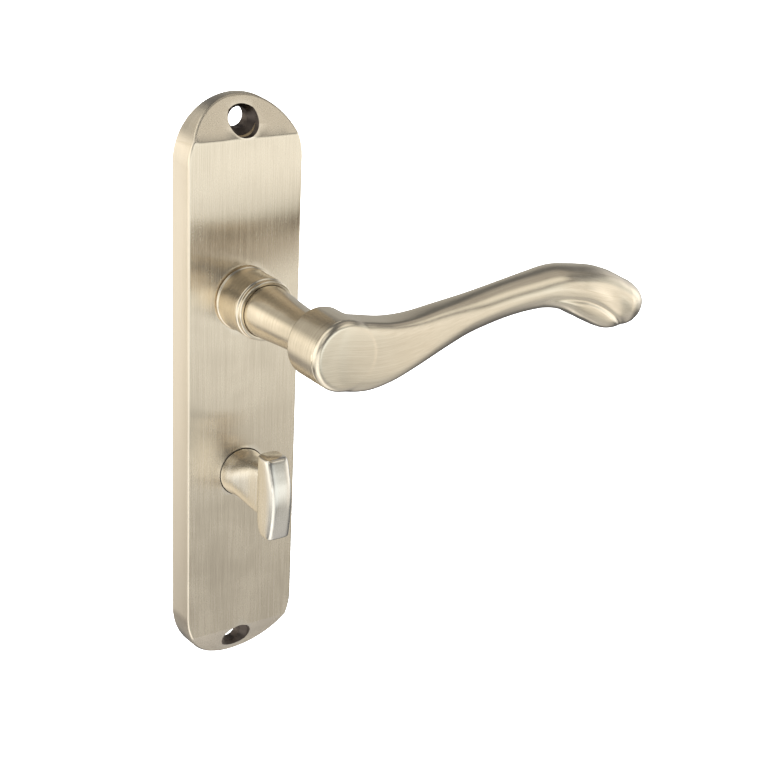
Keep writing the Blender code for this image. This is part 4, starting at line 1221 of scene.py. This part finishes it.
def show_outside_pieces():
    plate_nickel = brushed_nickel("plate_nickel", (0.66, 0.57, 0.44), (0.78, 0.68, 0.53),
                                  WORN_NICKEL, 0.25, 0.03, 1.0, 0.20, 0.51)
    cast_nickel = brushed_nickel("lever_nickel", (0.69, 0.60, 0.46), (0.78, 0.69, 0.54),
                                 WORN_NICKEL, 0.22, 0.025, 0.45, 0.10, 0.54)
    turned_nickel = brushed_nickel("collar_nickel", (0.68, 0.59, 0.45), (0.78, 0.69, 0.54),
                                   WORN_NICKEL, 0.19, 0.02, 0.35, 0.10, 0.51)
    paddle_nickel = brushed_nickel("turn_nickel", (0.70, 0.65, 0.56), (0.79, 0.74, 0.65),
                                   (0.88, 0.83, 0.74), 0.25, 0.03, 0.25, 0.10, 0.51)
    plate = plate_casting()
    brush(plate, plate_marks)
    shade_inside_holes(plate)
    smooth(plate, 40)
    flatten = plate.modifiers.new("weighted", "WEIGHTED_NORMAL")
    flatten.weight = 80
    flatten.keep_sharp = True
    fitted(plate, "backplate", "satin_nickel", plate_nickel, "cover_plate")
    for item, marks, body, nickel, node in (
            (collar_turning(), lathe_marks, "backplate", turned_nickel, "bearing_collar"),
            (lever_casting(), lever_marks, "lever", cast_nickel, "lever_handle"),
            (thumb_turn_casting(), turn_marks, "turn", paddle_nickel, "thumb_turn")):
        brush(item, marks)
        smooth(item, 50)
        fitted(item, body, "satin_nickel", nickel, node)


def show_working_pieces():
    zinc, dark, nylon = zinc_plate(), spring_steel(), moulded_nylon()
    plain, sprung = "zinc_plated_steel", "spring_steel"
    pieces = [
        (bush("lever_bush_moulding", "lever_bush", JOURNAL_RADIUS + GAP, COLLAR_BORE - GAP),
         "backplate", "black_nylon", nylon, "lever_bush"),
        (on_turn_axis(bush("turn_bush_moulding", "turn_bush", TURN_JOURNAL + GAP, TURN_HOLE - GAP)),
         "backplate", "black_nylon", nylon, "turn_bush"),
        (stop_pin("rest_pin", "rest_stop_pin"), "backplate", plain, zinc, "rest_stop_pin"),
        (stop_pin("down_pin", "down_stop_pin"), "backplate", plain, zinc, "down_stop_pin"),
        (stop_pin("anchor_pin", "spring_anchor_pin"), "backplate", plain, zinc, "spring_anchor_pin"),
        (spring_wire(), "backplate", sprung, dark, "return_spring"),
        (wave_ring("lever_wave_ring", "lever_wave_washer", JOURNAL_RADIUS + WAVE_AIR),
         "lever", sprung, dark, "lever_wave_washer"),
        (drive_cam(), "lever", plain, zinc, "lever_cam"),
        (ring_piece("lever_washer", "lever_retaining_washer", JOURNAL_RADIUS + GAP),
         "lever", plain, zinc, "lever_retaining_washer"),
        (circlip("lever_clip", "lever_circlip", JOURNAL_RADIUS - GROOVE_DEPTH + GAP, LEVER_CLIP_WIDTH),
         "lever", sprung, dark, "lever_circlip"),
        (spindle("lever_spindle_bar", "lever_spindle", LEVER_SQUARE, LEVER_SQUARE_CHAMFER),
         "lever", plain, zinc, "lever_spindle"),
        (turn_spindle_bar(), "turn", plain, zinc, "turn_spindle"),
        (spring_pin(), "turn", sprung, dark, "turn_spindle_pin"),
        (on_turn_axis(wave_ring("turn_wave_ring", "turn_wave_washer", TURN_JOURNAL + GAP)),
         "turn", sprung, dark, "turn_wave_washer"),
        (on_turn_axis(ring_piece("turn_washer", "turn_retaining_washer", TURN_JOURNAL + GAP)),
         "turn", plain, zinc, "turn_retaining_washer"),
        (on_turn_axis(circlip("turn_clip", "turn_circlip", TURN_JOURNAL - TURN_GROOVE_DEPTH + GAP,
                              TURN_CLIP_WIDTH)),
         "turn", sprung, dark, "turn_circlip"),
    ]
    for item, body, slot, material, node in pieces:
        smooth(item, 40)
        fitted(item, body, slot, material, node)


# --- studio ---
def camera():
    """Three-quarter view from the left of the handle, slightly above."""
    away = Vector((-math.sin(VIEW_AZIMUTH) * math.cos(VIEW_ELEVATION),
                   -math.cos(VIEW_AZIMUTH) * math.cos(VIEW_ELEVATION), math.sin(VIEW_ELEVATION)))
    made = linked("camera", bpy.data.cameras.new("camera"))
    made.data.lens = LENS
    made.data.sensor_width = 36.0
    made.data.clip_start = 0.01
    made.location = VIEW_TARGET + away * VIEW_DISTANCE
    facing = away.to_track_quat("Z", "Y").to_matrix() @ Matrix.Rotation(VIEW_ROLL, 3, "Z")
    made.rotation_euler = facing.to_euler()
    bpy.context.scene.camera = made


def overhead():
    """Broad light, straight down, that keeps the floor white; the metal doesn't mirror it."""
    lamp = bpy.data.lights.new("overhead", "AREA")
    lamp.shape = "SQUARE"
    lamp.size = LAMP_SIZE
    lamp.energy = LAMP_POWER
    made = linked("overhead", lamp)
    made.location = LAMP_PLACE
    made.visible_glossy = False


def floor():
    bm = bmesh.new()
    bmesh.ops.create_grid(bm, x_segments=8, y_segments=8, size=FLOOR_SIZE,
                          matrix=Matrix.Translation((0, 0, FLOOR)))
    made = from_bmesh("floor", bm)
    paint = Finish("floor_paper", Roughness=0.9)
    tint = paint.noise(paint.place(), 3.0, 2.0)
    colour = paint.blend(tint, (0.93, 0.93, 0.93), (0.96, 0.96, 0.96))
    made.data.materials.append(paint.finished(Base_Color=colour))
    made.visible_glossy = False


def surround():
    """Room that the metal mirrors: soft lights all round a dim studio, dark where the camera stands."""
    world = bpy.data.worlds.new("surround")
    world.use_nodes = True
    bpy.context.scene.world = world
    nodes, links = world.node_tree.nodes, world.node_tree.links
    direction = nodes.new("ShaderNodeTexCoord").outputs["Generated"]
    total = None
    for azimuth, height, spread, colour in ROOM_LIGHTS:
        turn, rise = math.radians(azimuth), math.radians(height)
        toward = nodes.new("ShaderNodeVectorMath")
        toward.operation = "DOT_PRODUCT"
        links.new(direction, toward.inputs[0])
        toward.inputs[1].default_value = (math.sin(turn) * math.cos(rise), -math.cos(turn) * math.cos(rise),
                                          math.sin(rise))
        glow = nodes.new("ShaderNodeMapRange")
        glow.interpolation_type = "SMOOTHSTEP"
        links.new(toward.outputs["Value"], glow.inputs[0])
        glow.inputs[1].default_value = math.cos(math.radians(spread))
        added = nodes.new("ShaderNodeVectorMath")
        added.operation = "MULTIPLY_ADD"
        links.new(glow.outputs[0], added.inputs[0])
        added.inputs[1].default_value = colour
        added.inputs[2].default_value = ROOM_DIM
        if total is not None:
            links.new(total, added.inputs[2])
        total = added.outputs[0]
    links.new(total, nodes["Background"].inputs["Color"])


show_outside_pieces()
show_working_pieces()
camera()
floor()
surround()
overhead()
bpy.context.scene.view_settings.view_transform = "Standard"
